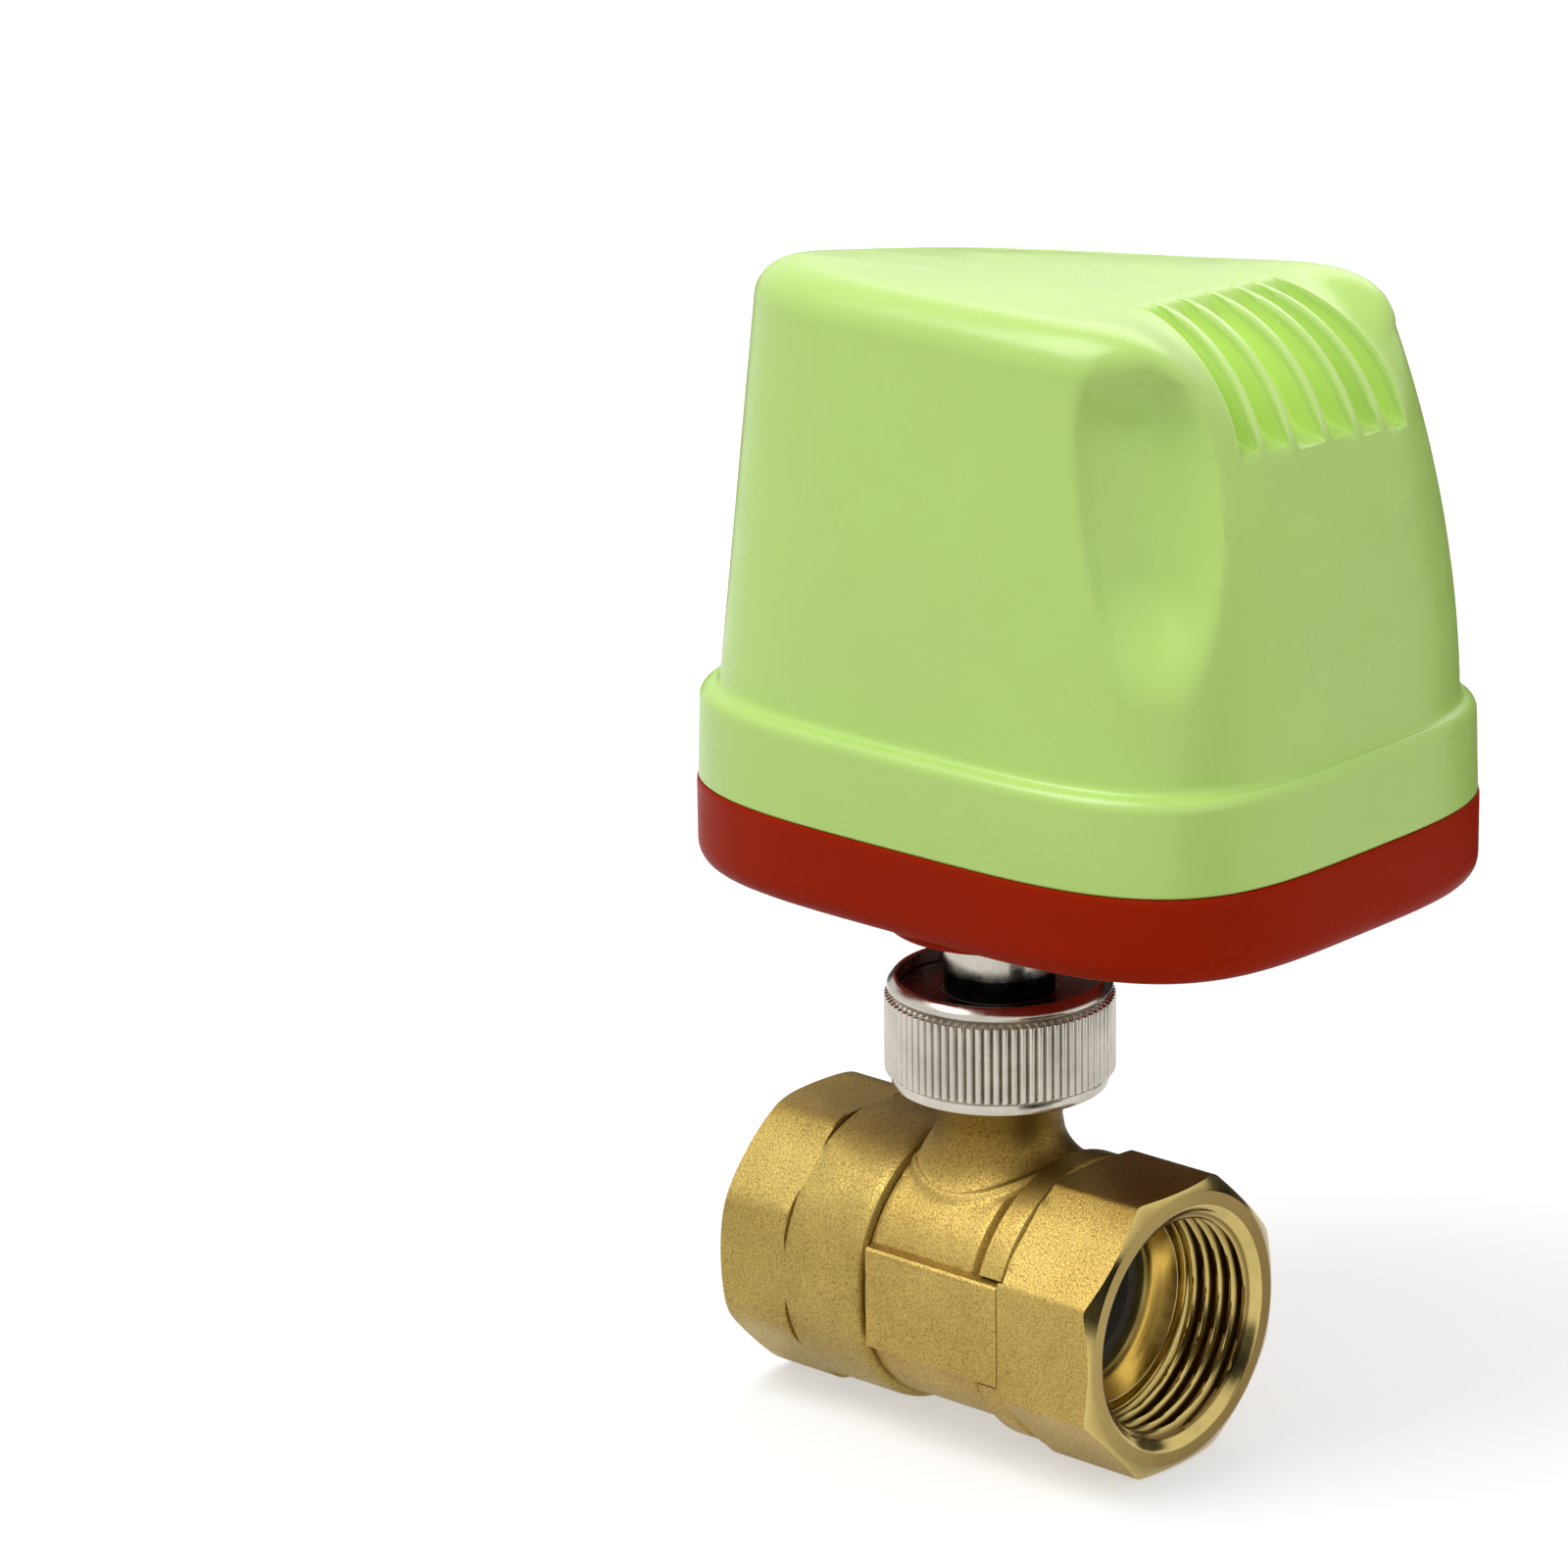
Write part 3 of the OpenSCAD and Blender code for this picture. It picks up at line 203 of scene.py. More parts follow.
def cut(obj, cutters):
    """Takes the cutters out of the object with Boolean modifiers and keeps the finished mesh."""
    for cutter in cutters:
        tool = cutter.build("cutter", [])
        change = obj.modifiers.new("hole", "BOOLEAN")
        change.operation, change.solver, change.object = "DIFFERENCE", "EXACT", tool
        bpy.context.view_layer.update()
        done = bpy.data.meshes.new_from_object(obj.evaluated_get(bpy.context.evaluated_depsgraph_get()))
        obj.modifiers.clear()
        obj.data = done
        bpy.data.objects.remove(tool)
    return obj


def joined(first, *others):
    """Joins separate closed shells into the first object."""
    bpy.ops.object.select_all(action="DESELECT")
    for obj in (first, *others):
        obj.select_set(True)
    bpy.context.view_layer.objects.active = first
    bpy.ops.object.join()
    return first


# Finishes

def add_node(tree, kind, inputs=None, **settings):
    """Adds a node with its settings, and gives each input a value or a link from another's output."""
    made = tree.nodes.new(kind)
    for key, value in settings.items():
        setattr(made, key, value)
    for key, value in (inputs or {}).items():
        if isinstance(value, bpy.types.NodeSocket):
            tree.links.new(value, made.inputs[key])
        else:
            made.inputs[key].default_value = value
    return made


class Finish:
    """A node material whose patterns read Object coordinates."""

    def __init__(self, name, **sockets):
        self.material = bpy.data.materials.new(name)
        self.material.use_nodes = True
        self.tree = self.material.node_tree
        self.shader = self.tree.nodes["Principled BSDF"]
        self.place = self.tree.nodes.new("ShaderNodeTexCoord").outputs["Object"]
        for socket, value in sockets.items():
            self.shader.inputs[socket.replace("_", " ")].default_value = value

    def node(self, kind, inputs=None, **settings):
        """Adds a node to the finish's own tree."""
        return add_node(self.tree, kind, inputs, **settings)

    def noise(self, scale, detail=2.0, rough=0.5, stretch=None):
        """Noise of the given scale, stretched along an axis by a Mapping node if asked."""
        place = self.place
        if stretch:
            place = self.node("ShaderNodeMapping", {"Vector": place, "Scale": stretch}).outputs["Vector"]
        return self.node("ShaderNodeTexNoise", {"Vector": place, "Scale": scale, "Detail": detail,
                                                "Roughness": rough}).outputs["Fac"]

    def ramp(self, value, stops):
        """A colour ramp over (position, linear colour) stops."""
        made = self.node("ShaderNodeValToRGB", {"Fac": value})
        for i, (at, colour) in enumerate(stops):
            element = made.color_ramp.elements[i] if i < 2 else made.color_ramp.elements.new(at)
            element.position, element.color = at, (*colour, 1.0)
        return made.outputs["Color"]

    def mixed(self, share, first, second, mode="MIX"):
        """Two colours mixed by a share. The Mix node's colour sockets are 6 and 7, and 2 on its way out."""
        return self.node("ShaderNodeMix", {0: share, 6: first, 7: second}, data_type="RGBA",
                         blend_type=mode).outputs[2]

    def spread(self, value, low, high, start=0.3, end=0.7):
        """A value between start and end, spread from low to high."""
        return self.node("ShaderNodeMapRange", {"Value": value, "From Min": start, "From Max": end,
                                                "To Min": low, "To Max": high}).outputs["Result"]

    def colour(self, socket):
        """Gives the shader its base colour."""
        self.tree.links.new(socket, self.shader.inputs["Base Color"])

    def roughness(self, socket):
        """Gives the shader its roughness."""
        self.tree.links.new(socket, self.shader.inputs["Roughness"])

    def bump(self, *layers):
        """Stacks bump layers of (height, strength, distance in metres)."""
        normal = None
        for height, strength, distance in layers:
            made = self.node("ShaderNodeBump", {"Height": height, "Strength": strength, "Distance": distance})
            if normal:
                self.tree.links.new(normal, made.inputs["Normal"])
            normal = made.outputs["Normal"]
        self.tree.links.new(normal, self.shader.inputs["Normal"])

    def toned(self, colour, low, high):
        """Mixes towards the low colour where the tone attribute is negative, and the high one where
        it's positive."""
        tone = self.node("ShaderNodeAttribute", attribute_name="tone").outputs["Fac"]
        colour = self.mixed(self.spread(tone, 1.0, 0.0, -1.0, 0.0), colour, (*low, 1.0))
        return self.mixed(self.spread(tone, 0.0, 1.0, 0.0, 1.0), colour, (*high, 1.0))

    def around_pipe(self):
        """Distance from the pipe's axis, the square root of y² + z²."""
        parts = self.node("ShaderNodeSeparateXYZ", {"Vector": self.place}).outputs
        flat = self.node("ShaderNodeCombineXYZ", {"X": parts["Y"], "Y": parts["Z"]}).outputs["Vector"]
        return self.node("ShaderNodeVectorMath", {0: flat}, operation="LENGTH").outputs["Value"]


def shade(colour, factor):
    """A colour times a factor, held at 1."""
    return tuple(min(1.0, c * factor) for c in colour)


def moulded(name, colour, rough, tint=0.05, grain=0.05, tones=None, **sockets):
    """Moulded plastic: faint cloudy tint, slightly uneven gloss and a fine sparked grain. Tones are painted
    light: the colours painted into recesses and onto crests."""
    f = Finish(name, **sockets)
    base = f.ramp(f.noise(38.0, 3.0, 0.55), [(0.3, shade(colour, 1 - tint)), (0.7, shade(colour, 1 + tint))])
    f.colour(f.toned(base, *tones) if tones else base)
    f.roughness(f.spread(f.noise(160.0, 2.0), rough - 0.04, rough + 0.05))
    f.bump((f.noise(2400.0, 2.0, 0.6), grain, 0.0001), (f.noise(240.0, 1.0), grain * 0.6, 0.0004))
    return f.material


def blasted(name, light, dark, rough):
    """Blasted forged brass: sparkling grain, dull patches and a rough skin, with painted shade: darker on top
    and up the neck, where the housing and the nut shade it."""
    f = Finish(name, Metallic=1.0)
    grain = f.noise(4200.0, 1.5, 0.6)
    cloud = f.noise(95.0, 3.0, 0.55)
    base = f.ramp(grain, [(0.3, dark), (0.5, shade(light, 0.94)), (0.7, shade(light, 1.12))])
    worn = f.ramp(cloud, [(0.35, (0.86, 0.84, 0.80)), (0.62, (1.0, 1.0, 1.0))])
    # Painted shade: the colour darkens with height, over the top of the body and up the neck.
    height = f.node("ShaderNodeSeparateXYZ", {"Vector": f.place}).outputs["Z"]
    painted_top_shade = f.ramp(f.spread(height, 0.0, 1.0, 0.0125, 0.0205),
                  [(0.0, (1.0, 1.0, 1.0)), (0.45, (0.66, 0.60, 0.50)), (0.85, (0.38, 0.31, 0.20))])
    f.colour(f.mixed(1.0, f.mixed(1.0, base, worn, "MULTIPLY"), painted_top_shade, "MULTIPLY"))
    f.roughness(f.spread(grain, rough + 0.08, rough - 0.06))
    f.bump((grain, 0.4, 0.00008), (f.noise(520.0, 2.0, 0.5), 0.2, 0.0002))
    return f.material


def machined(name, colour, rough, rings=True, tones=None):
    """Turned metal: fine tool lines, round the pipe's axis if rings is set, with a light haze of stain.
    Tones are the colours of painted shade and of painted highlight."""
    f = Finish(name, Metallic=1.0)
    if rings:
        lines = f.node("ShaderNodeTexNoise", {"W": f.around_pipe(), "Scale": 5200.0, "Detail": 2.0},
                       noise_dimensions="1D").outputs["Fac"]
    else:
        lines = f.noise(900.0, 2.0, 0.5, (0.08, 0.08, 4.0))
    haze = f.noise(220.0, 3.0, 0.6)
    base = f.ramp(haze, [(0.3, shade(colour, 0.86)), (0.65, shade(colour, 1.06))])
    f.colour(f.toned(base, *tones) if tones else base)
    f.roughness(f.spread(haze, rough - 0.04, rough + 0.08))
    f.bump((lines, 0.12, 0.00004), (f.noise(1500.0, 2.0), 0.05, 0.00005))
    return f.material


def plated(name, colour, rough, grain=0.1):
    """Plated or drawn metal: soft cloudy sheen over a faint peel."""
    f = Finish(name, Metallic=1.0)
    cloud = f.noise(180.0, 4.0, 0.6)
    f.colour(f.ramp(cloud, [(0.3, shade(colour, 0.82)), (0.68, shade(colour, 1.05))]))
    f.roughness(f.spread(f.noise(600.0, 3.0, 0.6), rough - 0.06, rough + 0.1))
    f.bump((f.noise(1100.0, 3.0, 0.6), grain, 0.0001), (f.noise(5000.0, 1.0), grain * 0.6, 0.00003))
    return f.material


def rubbery(name, colour, rough):
    """Rubber or seat material: matte, with fine speckle."""
    f = Finish(name)
    speck = f.noise(1800.0, 3.0, 0.7)
    f.colour(f.ramp(speck, [(0.3, shade(colour, 0.75)), (0.7, shade(colour, 1.2))]))
    f.roughness(f.spread(speck, rough - 0.08, rough + 0.08))
    f.bump((speck, 0.2, 0.0001),)
    return f.material


LIME = (0.465, 0.69, 0.165)
BRICK = (0.32, 0.0145, 0.001)
# Its tones are painted light: a brighter, more saturated green in the louvre slots, and a pale painted
# highlight on the fin crests.
green = moulded("lime_plastic", LIME, 0.3, 0.03, 0.05, tones=((0.62, 0.85, 0.21), (0.56, 0.78, 0.24)))
red = moulded("brick_plastic", BRICK, 0.4, 0.05, 0.06, Specular_IOR_Level=0.04)
body_brass = blasted("blasted_brass", (0.515, 0.37, 0.108), (0.31, 0.205, 0.048), 0.48)
cap_brass = blasted("blasted_cap_brass", (0.455, 0.337, 0.10), (0.275, 0.188, 0.047), 0.48)
# Its tones are painted shade in the thread's bottoms and on the faces, and a painted highlight on the bevel.
bright_brass = machined("turned_brass", (0.62, 0.485, 0.17), 0.17,
                        tones=((0.17, 0.10, 0.025), (0.92, 0.74, 0.33)))
nickel = plated("satin_nickel", (0.57, 0.53, 0.46), 0.19, 0.05)
# Nickel painted near black: painted shade for the sleeve's foot deep in the nut's recess.
shaded_nickel = plated("painted_shade_nickel", (0.045, 0.042, 0.04), 0.25, 0.05)
black = moulded("black_plastic", (0.013, 0.013, 0.014), 0.42, 0.1, 0.15)

SLOT_FINISH = {
    "brass": body_brass,
    "cap_brass": cap_brass,
    "ball_plating": plated("dark_plating", (0.62, 0.59, 0.46), 0.4, 0.03),
    "seat": rubbery("filled_seat", (0.035, 0.033, 0.03), 0.5),
    "seal": rubbery("rubber_seal", (0.012, 0.012, 0.012), 0.6),
    "washer": rubbery("slippery_washer", (0.70, 0.67, 0.60), 0.45),
    "steel": plated("zinc_steel", (0.62, 0.62, 0.60), 0.26),
    "nickel": nickel,
    "red_housing": red,
    "green_cover": green,
    "gear_plastic": moulded("natural_plastic", (0.72, 0.66, 0.50), 0.4, 0.04, 0.08),
    "bronze": plated("sintered_bronze", (0.42, 0.24, 0.09), 0.45, 0.3),
    "pinion_brass": machined("cut_brass", (0.75, 0.52, 0.20), 0.26, rings=False),
    "motor_steel": plated("drawn_steel", (0.40, 0.41, 0.42), 0.3),
    "plate_steel": plated("stamped_steel", (0.56, 0.57, 0.58), 0.3),
    "switch_plastic": moulded("switch_plastic", (0.022, 0.024, 0.028), 0.4, 0.1, 0.1),
    "plunger_red": moulded("red_plastic", (0.45, 0.02, 0.01), 0.35),
    "board": moulded("green_laminate", (0.018, 0.11, 0.035), 0.35, 0.12, 0.1),
    "terminal_blue": moulded("blue_plastic", (0.03, 0.13, 0.34), 0.35),
    "capacitor_skin": moulded("yellow_sleeve", (0.50, 0.33, 0.06), 0.3),
    "black_plastic": black,
}
for node in nodes.values():
    for holder in node.material_slots:
        holder.material = SLOT_FINISH[holder.material.name.split(".")[0]]


# Housing

def plan_outline(angle, front_in, back_in):
    """Superellipse |x/a|ⁿ + |y/b|ⁿ = 1 about (0, MID_Y), read at a polar angle. Its half axes are
    drawn in by front_in on the front and left, and by back_in on the back and right."""
    c, s = np.cos(angle), np.sin(angle)
    a = HALF_W - np.where(c > 0, back_in, front_in)
    b = HALF_D - np.where(s > 0, back_in, front_in)
    r = (np.abs(c / a) ** SQUARE + np.abs(s / b) ** SQUARE) ** (-1 / SQUARE)
    return r * c, MID_Y + r * s


def top_height(x, y):
    """Top of the cover, which falls to the back by TOP_FALL − TOP_TWIST·x for each millimetre."""
    return COVER_TOP - (TOP_FALL - TOP_TWIST * x) * np.maximum(0, y + 5)


def side_inset(h):
    """Draft of the cover's sides at height h over the band: straight on the front and left,
    and curved in on the back and right."""
    return 2.3 + 0.088 * h, 2.0 + 0.02 * h + 0.0033 * h * h


def bare_skin(angle, level, inset):
    """Cover without its dents. Level 0 to 1 climbs the drafted wall, 1 to 2 goes round the top edge
    as a quarter circle, and 2 to 3 shrinks that ring to the middle of the top."""
    angle, level = np.broadcast_arrays(angle, level)
    x_ref, y_ref = plan_outline(angle, 6.0, 8.0)
    radius = EDGE_R + EDGE_GROWTH * smooth(0.5 + 0.5 * np.cos(angle - math.radians(30)))
    edge_z = top_height(x_ref, y_ref) - radius
    z = BAND_TOP + (edge_z - BAND_TOP) * np.clip(level, 0, 1)
    turn = math.radians(90) * np.clip(level - 1, 0, 1)
    front_in, back_in = side_inset(z - BAND_TOP)
    drawn = inset + (radius - inset) * (1 - np.cos(turn))
    x, y = plan_outline(angle, front_in + drawn, back_in + drawn)
    z = z + (radius - inset) * np.sin(turn)
    share = np.clip(3 - level, 0, 1)
    left_over = (z - top_height(x, y) + inset) * share ** 3
    top_x, top_y = x * share, MID_Y + (y - MID_Y) * share
    top = level > 2
    return np.stack([np.where(top, top_x, x), np.where(top, top_y, y),
                     np.where(top, top_height(top_x, top_y) - inset + left_over, z)], -1)


def hollow_depth(angle, z):
    """Teardrop hollow in the near corner. v runs up it from 0 to 1 and its reach is √(1−(1−v)^2.2).
    Its half widths are HOLLOW_LEFT·reach·√(1−v^14) and HOLLOW_RIGHT·reach·(1−v^5)^0.85. The left side is
    steepest near its rim, and the right one rises more evenly."""
    v = np.clip((z - HOLLOW_LOW) / HOLLOW_RISE, 0, 1)
    reach = np.sqrt(1 - (1 - v) ** 2.2)
    left = HOLLOW_LEFT * reach * np.sqrt(1 - v ** 14) + 0.01
    right = HOLLOW_RIGHT * reach * (1 - v ** 5) ** 0.85 + 0.01
    turn = np.degrees(angle) - HOLLOW_WAY
    near = np.clip(1 + turn / left, 0, 1)
    far = np.clip(1 - turn / right, 0, 1)
    slope = (1 - (1 - near) ** 1.6) * (0.35 + 0.65 * smooth(near / 0.25))
    shape = np.where(turn < 0, slope, 0.5 * smooth(far) + 0.5 * (1 - (1 - far) ** 2))
    return HOLLOW_DEPTH * smooth(v / 0.34) * (1 - smooth((z - 101) / 10.5)) * shape


def shoulder_shift(point, inset):
    """How far a point moves along (−1, 0, −1)/√2 to lie on the louvres' broad shoulder, the curve
    u^p + v^p = 1 in x and z. It's found by halving, softened, and faded out past both ends."""
    half = inset / math.sqrt(2)
    x, y, z = point[..., 0] + half, point[..., 1], point[..., 2] + half
    foot = SHOULDER_FOOT - 0.068 * (y - 15)
    crown = SHOULDER_CROWN - 0.036 * (y - 15)

    def outside(shift):
        u = np.clip(1 - (SHOULDER_X - x + shift / math.sqrt(2)) / SHOULDER_REACH, 0, None)
        v = np.clip((z - shift / math.sqrt(2) - foot) / (crown - foot), 0, None)
        return u ** SHOULDER_POWER + v ** SHOULDER_POWER > 1

    low, high = np.full(x.shape, -12.0), np.full(x.shape, 12.0)
    for _ in range(24):
        middle = (low + high) / 2
        out = outside(middle)
        low, high = np.where(out, middle, low), np.where(out, high, middle)
    shift = (low + high) / 2
    soft = (shift + np.sqrt(shift ** 2 + 0.5)) / 2
    fade = smooth((y + 9) / 11) * (1 - smooth((y - 29) / 6)) * smooth((x - 5) / 9) * smooth((z - 88) / 9)
    return soft * fade


def dented_skin(angle, level, inset):
    """Cover's skin with its hollow and shoulder."""
    point = bare_skin(angle, level, inset)
    angle = np.broadcast_to(angle, point.shape[:2])
    dent = hollow_depth(angle, point[..., 2] + inset)[..., None]
    point = point + dent * np.array([-1.0, 1.0, 0.0]) / math.sqrt(2)
    return point - shoulder_shift(point, inset)[..., None] * np.array([1.0, 0.0, 1.0]) / math.sqrt(2)


def fin_place(x, y):
    """Place across the fan of fins: whole numbers lie on the fins, counted from the near edge."""
    lines = FIN_FOOT_Y + np.tan(FIN_TURN) * (x[..., None] - FIN_FOOT_X)
    y = y[..., None]
    across = np.clip((y - lines[..., :-1]) / (lines[..., 1:] - lines[..., :-1]), 0, 1).sum(-1)
    y = y[..., 0]
    return across + np.minimum((y - lines[..., 0]) / 4, 0) + np.maximum((y - lines[..., -1]) / 5, 0)


def slot_columns():
    """Places across the fan for the grid's columns, close together on both flanks of each slot."""
    places = []
    gaps = np.diff(FIN_FOOT_Y)
    for i, gap in enumerate(gaps):
        near = FIN_HALF if i else 0.0
        far = FIN_HALF if i < len(gaps) - 1 else 0.0
        crest = [0.0, 0.25, 0.45] if i else [0.0]
        flank = [near + 0.08, near + 0.2, near + 0.32, near + 0.44]
        floor = list(np.linspace(near + 0.6, gap - far - 0.55, 4))
        back = [gap - far - 0.34, gap - far - 0.25, gap - far - 0.15, gap - far - 0.06]
        places += [i + m / gap for m in crest + flank + floor + back + ([gap - 0.25] if far else [])]
    return np.array(places + [float(len(gaps))])


def slot_depth(point, room=False):
    """Depth and tone of the louvre slots. The tone is painted light: −1 in the slots, painted a brighter
    green, and 1 on the fin crests, a painted highlight. Along a slot the depth grows from its pointed upper
    start and ends at a ledge; across, it rises from both flanks. With room it's what the wall inside gives."""
    x, y, z = point[..., 0], point[..., 1], point[..., 2]
    across = fin_place(x, y)
    along = ((x - LOUVRE_X) + (LOUVRE_Z - 0.085 * y - z)) / LOUVRE_RUN
    if room:
        return 3.4 * smooth((along + 0.1) / 0.35) * smooth((1.15 - along) / 0.25) \
            * smooth((across + 0.5) / 0.6) * smooth((6.5 - across) / 0.6)
    cell = np.clip(np.floor(across), 0, 5).astype(int)
    gap = np.diff(FIN_FOOT_Y)[cell]
    near = np.where(cell > 0, FIN_HALF, 0.0)
    far = np.where(cell < 5, FIN_HALF, 0.0)
    inside = (across - cell) * gap
    shape = smooth((inside - near) / 0.48) * smooth((gap - far - inside) / 0.36)
    length = smooth(along / 0.22) ** 0.7 * (1 - np.clip(1 - (1 - along) / 0.16, 0, 1) ** 2)
    share = np.clip(length, 0, 1) * (across > -0.02) * (across < 6.02)
    return SLOT_DEPTH * shape * share, (1 - 2 * smooth(shape / 0.5)) * share


def outward(grid):
    """Unit normals of a grid from its neighbouring rows and columns."""
    across = np.roll(grid, -1, 1) - np.roll(grid, 1, 1)
    along = np.gradient(grid, axis=0)
    normal = np.cross(across, along)
    return normal / (np.linalg.norm(normal, axis=-1, keepdims=True) + 1e-9)


def column_angles(level):
    """Polar angle of each column in each row, so that columns follow the fins of the louvres. On the
    inner rings of the top, past level 2.44, the columns keep their angles."""
    dense = np.radians(np.linspace(FAN_START, FAN_END, 529))
    held = np.minimum(level, 2.44)
    spots = dented_skin(dense[None], held[:, None], 0.0)
    places = fin_place(spots[..., 0], spots[..., 1])
    targets = slot_columns()
    rows = []
    for row in places:
        fins = np.interp(targets, row, dense)
        rows.append(np.concatenate([
            np.radians(np.linspace(-180, FAN_START, 66, endpoint=False)),
            np.linspace(dense[0], fins[0], 44, endpoint=False), fins,
            np.linspace(fins[-1], dense[-1], 22)[1:-1],
            np.radians(np.linspace(FAN_END, 180, 62, endpoint=False))]))
    return np.array(rows)


def band_rows(angles, heights, insets):
    """Rows of the plan outline at heights, drawn in by insets (front and back)."""
    grid = []
    for z, (front_in, back_in) in zip(heights, insets):
        x, y = plan_outline(angles, np.full(angles.shape, front_in), np.full(angles.shape, back_in))
        grid.append(np.stack([x, y, np.full(x.shape, z)], -1))
    return np.array(grid)


def cover_grid():
    """Cover as one closed sheet of rows: the inner top, down the inner wall, under the rim, up the band
    and the skin to the middle of the top. Returns the grid and the tone of each point."""
    outer_level = np.concatenate([np.linspace(0.03, 0.6, 22), np.linspace(0.6, 1, 24)[1:],
                                  np.linspace(1, 2, 19)[1:], np.linspace(2, 2.56, 26)[1:],
                                  np.linspace(2.56, 2.97, 8)[1:]])
    inner_level = np.concatenate([np.linspace(0.05, 0.6, 8), np.linspace(0.6, 1, 9)[1:],
                                  np.linspace(1, 2, 8)[1:], np.linspace(2, 2.97, 12)[1:]])[::-1]
    angles = column_angles(outer_level)
    foot = angles[0]
    outer = dented_skin(angles, outer_level[:, None], 0.0)
    depth, tone = slot_depth(outer)
    outer = outer - outward(outer) * depth[..., None]
    inner_angles = column_angles(inner_level)
    inner = dented_skin(inner_angles, inner_level[:, None], COVER_WALL)
    room = slot_depth(inner, room=True)[..., None]
    inner = inner - room * np.array([1.0, 0.0, 1.0]) / math.sqrt(2)
    t = np.radians(np.linspace(0, 90, 7))
    first_z = outer[0, :, 2].mean()
    front_in, back_in = side_inset(first_z - BAND_TOP)
    rise = first_z - BAND_TOP
    low = [(54.35, 2.9), (BASE_TOP, 2.6), (BASE_TOP, 0.55), (54.06, 0.3), (54.25, 0.16), (54.6, 0.15),
           (58.5, 0.27), (62.4, 0.36), (62.9, 0.4)]
    heights = [z for z, _ in low] + list(63.1 + 1.5 * np.sin(t))
    insets = [(i, i) for _, i in low] + [(0.4 + 1.3 * (1 - c), 0.4 + 1.15 * (1 - c)) for c in np.cos(t)]
    heights += list(BAND_TOP + rise * (1 - np.cos(t[1:-1])))
    insets += [(1.7 + (front_in - 1.7) * s, 1.55 + (back_in - 1.55) * s) for s in np.sin(t[1:-1])]
    inner_foot = band_rows(inner_angles[-1], [64.4, 63.6, 58.0], [(BAND_WALL, BAND_WALL)] * 3)
    grid = np.concatenate([inner, inner_foot, band_rows(foot, heights, insets), outer])
    return grid, np.concatenate([np.zeros((len(grid) - len(outer), grid.shape[1])), tone])


def tube_profile(outer_r, inner_r, low, high, ease=0.25):
    """Closed profile of a tube, up the outside and down the inside, with eased ends."""
    return eased([(outer_r, low, ease), (outer_r, high, ease), (inner_r, high, ease), (inner_r, low, ease)])


def make_cover():
    """Cover's sheet with a tube for each of its screws."""
    grid, tone = cover_grid()
    piece = Piece().rows(grid, tone=tone)
    for spot in SCREWS:
        piece.rows(turned(tube_profile(3.0, 1.5, BASE_TOP + 0.02, 63.3), 40, spot), loop=True)
    return piece.build("cover_shell", [green], 34)


def make_base():
    """Base as a tray from band_rows, with its holes cut, and its boss, screw tubes and idler hub added."""
    angles = np.radians(np.arange(288) * 360 / 288)
    t = np.radians(np.linspace(0, 90, 8))
    bottom = [(FLOOR_BOTTOM, 20.0), (FLOOR_BOTTOM, 3.0), (FLOOR_BOTTOM, 2.2)]
    rounding = list(zip(FLOOR_BOTTOM + 2.6 * (1 - np.cos(t)), 1.7 * (1 - np.sin(t))))
    side = [(47.4, 0.0), (50.5, 0.0), (53.4, 0.0), (53.72, 0.02), (53.9, 0.1), (BASE_TOP, 0.3)]
    inside = [(BASE_TOP, 1.1), (53.2, 1.1), (53.2, 2.5), (47.6, 2.5), (47.1, 2.6), (46.8, 2.9),
              (FLOOR_TOP, 3.4), (FLOOR_TOP, 4.2), (FLOOR_TOP, 20.0)]
    profile = bottom + rounding + side + inside
    rows = band_rows(angles, [z for z, _ in profile], [(i, i) for _, i in profile])
    tray = Piece().rows(rows).build("base_shell", [red], 30)
    low, high, recess = 40.0, 50.0, 46.0
    holes = [post(SHAFT_HOLE_R, low, high, (0, 0), 72), post(GLAND_HOLE_R, low, high, GLAND, 72)]
    holes += [post(SCREW_HEAD_R, low, recess, spot) for spot in SCREWS]
    holes += [post(SCREW_HOLE_R, low, high, spot, 32) for spot in SCREWS]
    tray = cut(tray, holes)
    tray.data.set_sharp_from_angle(angle=math.radians(30))
    extras = Piece()
    boss = eased([(12.9, 44.3, 0), (12.55, 43.95, 0), (12.5, 43.5, 0), (12.5, 41.5, 0.45),
                  (SHAFT_HOLE_R, 41.5, 0.3), (SHAFT_HOLE_R, 44.3, 0)])
    extras.rows(turned(boss, 120), loop=True, flip=True)
    for spot in SCREWS:
        extras.rows(turned(tube_profile(3.0, SCREW_HOLE_R, 46.6, 53.98), 40, spot), loop=True)
    extras.rows(turned(tube_profile(3.3, 2.05, 46.6, 49.8), 40, IDLER), loop=True)
    return joined(tray, extras.build("base_bosses", [red], 30))


# Brass body and end cap

def octagon(angle, power):
    """Radius of an octagon with softly rounded corners: FLATS·(Σ cosᵖ(a − 45°·k))^(−1/p) over the
    flats that face the angle. The lower the power p, the rounder the corners."""
    faces = np.clip(np.cos(angle[..., None] - np.radians(np.arange(8) * 45.0)), 0, None)
    return FLATS * (faces ** power).sum(-1) ** (-1 / power)


def pipe_columns(extra=()):
    """Angles about the pipe: an even 192, more at the octagon's corners and at any extra places."""
    corners = 22.5 + 45.0 * np.arange(8)
    close = (corners[:, None] + np.array([-2.4, -1.3, -0.6, 0.6, 1.3, 2.4])).ravel()
    spots = np.concatenate([np.arange(192) * 1.875, close, np.asarray(extra, float)]) % 360
    return np.radians(np.unique(np.round(spots, 3)))


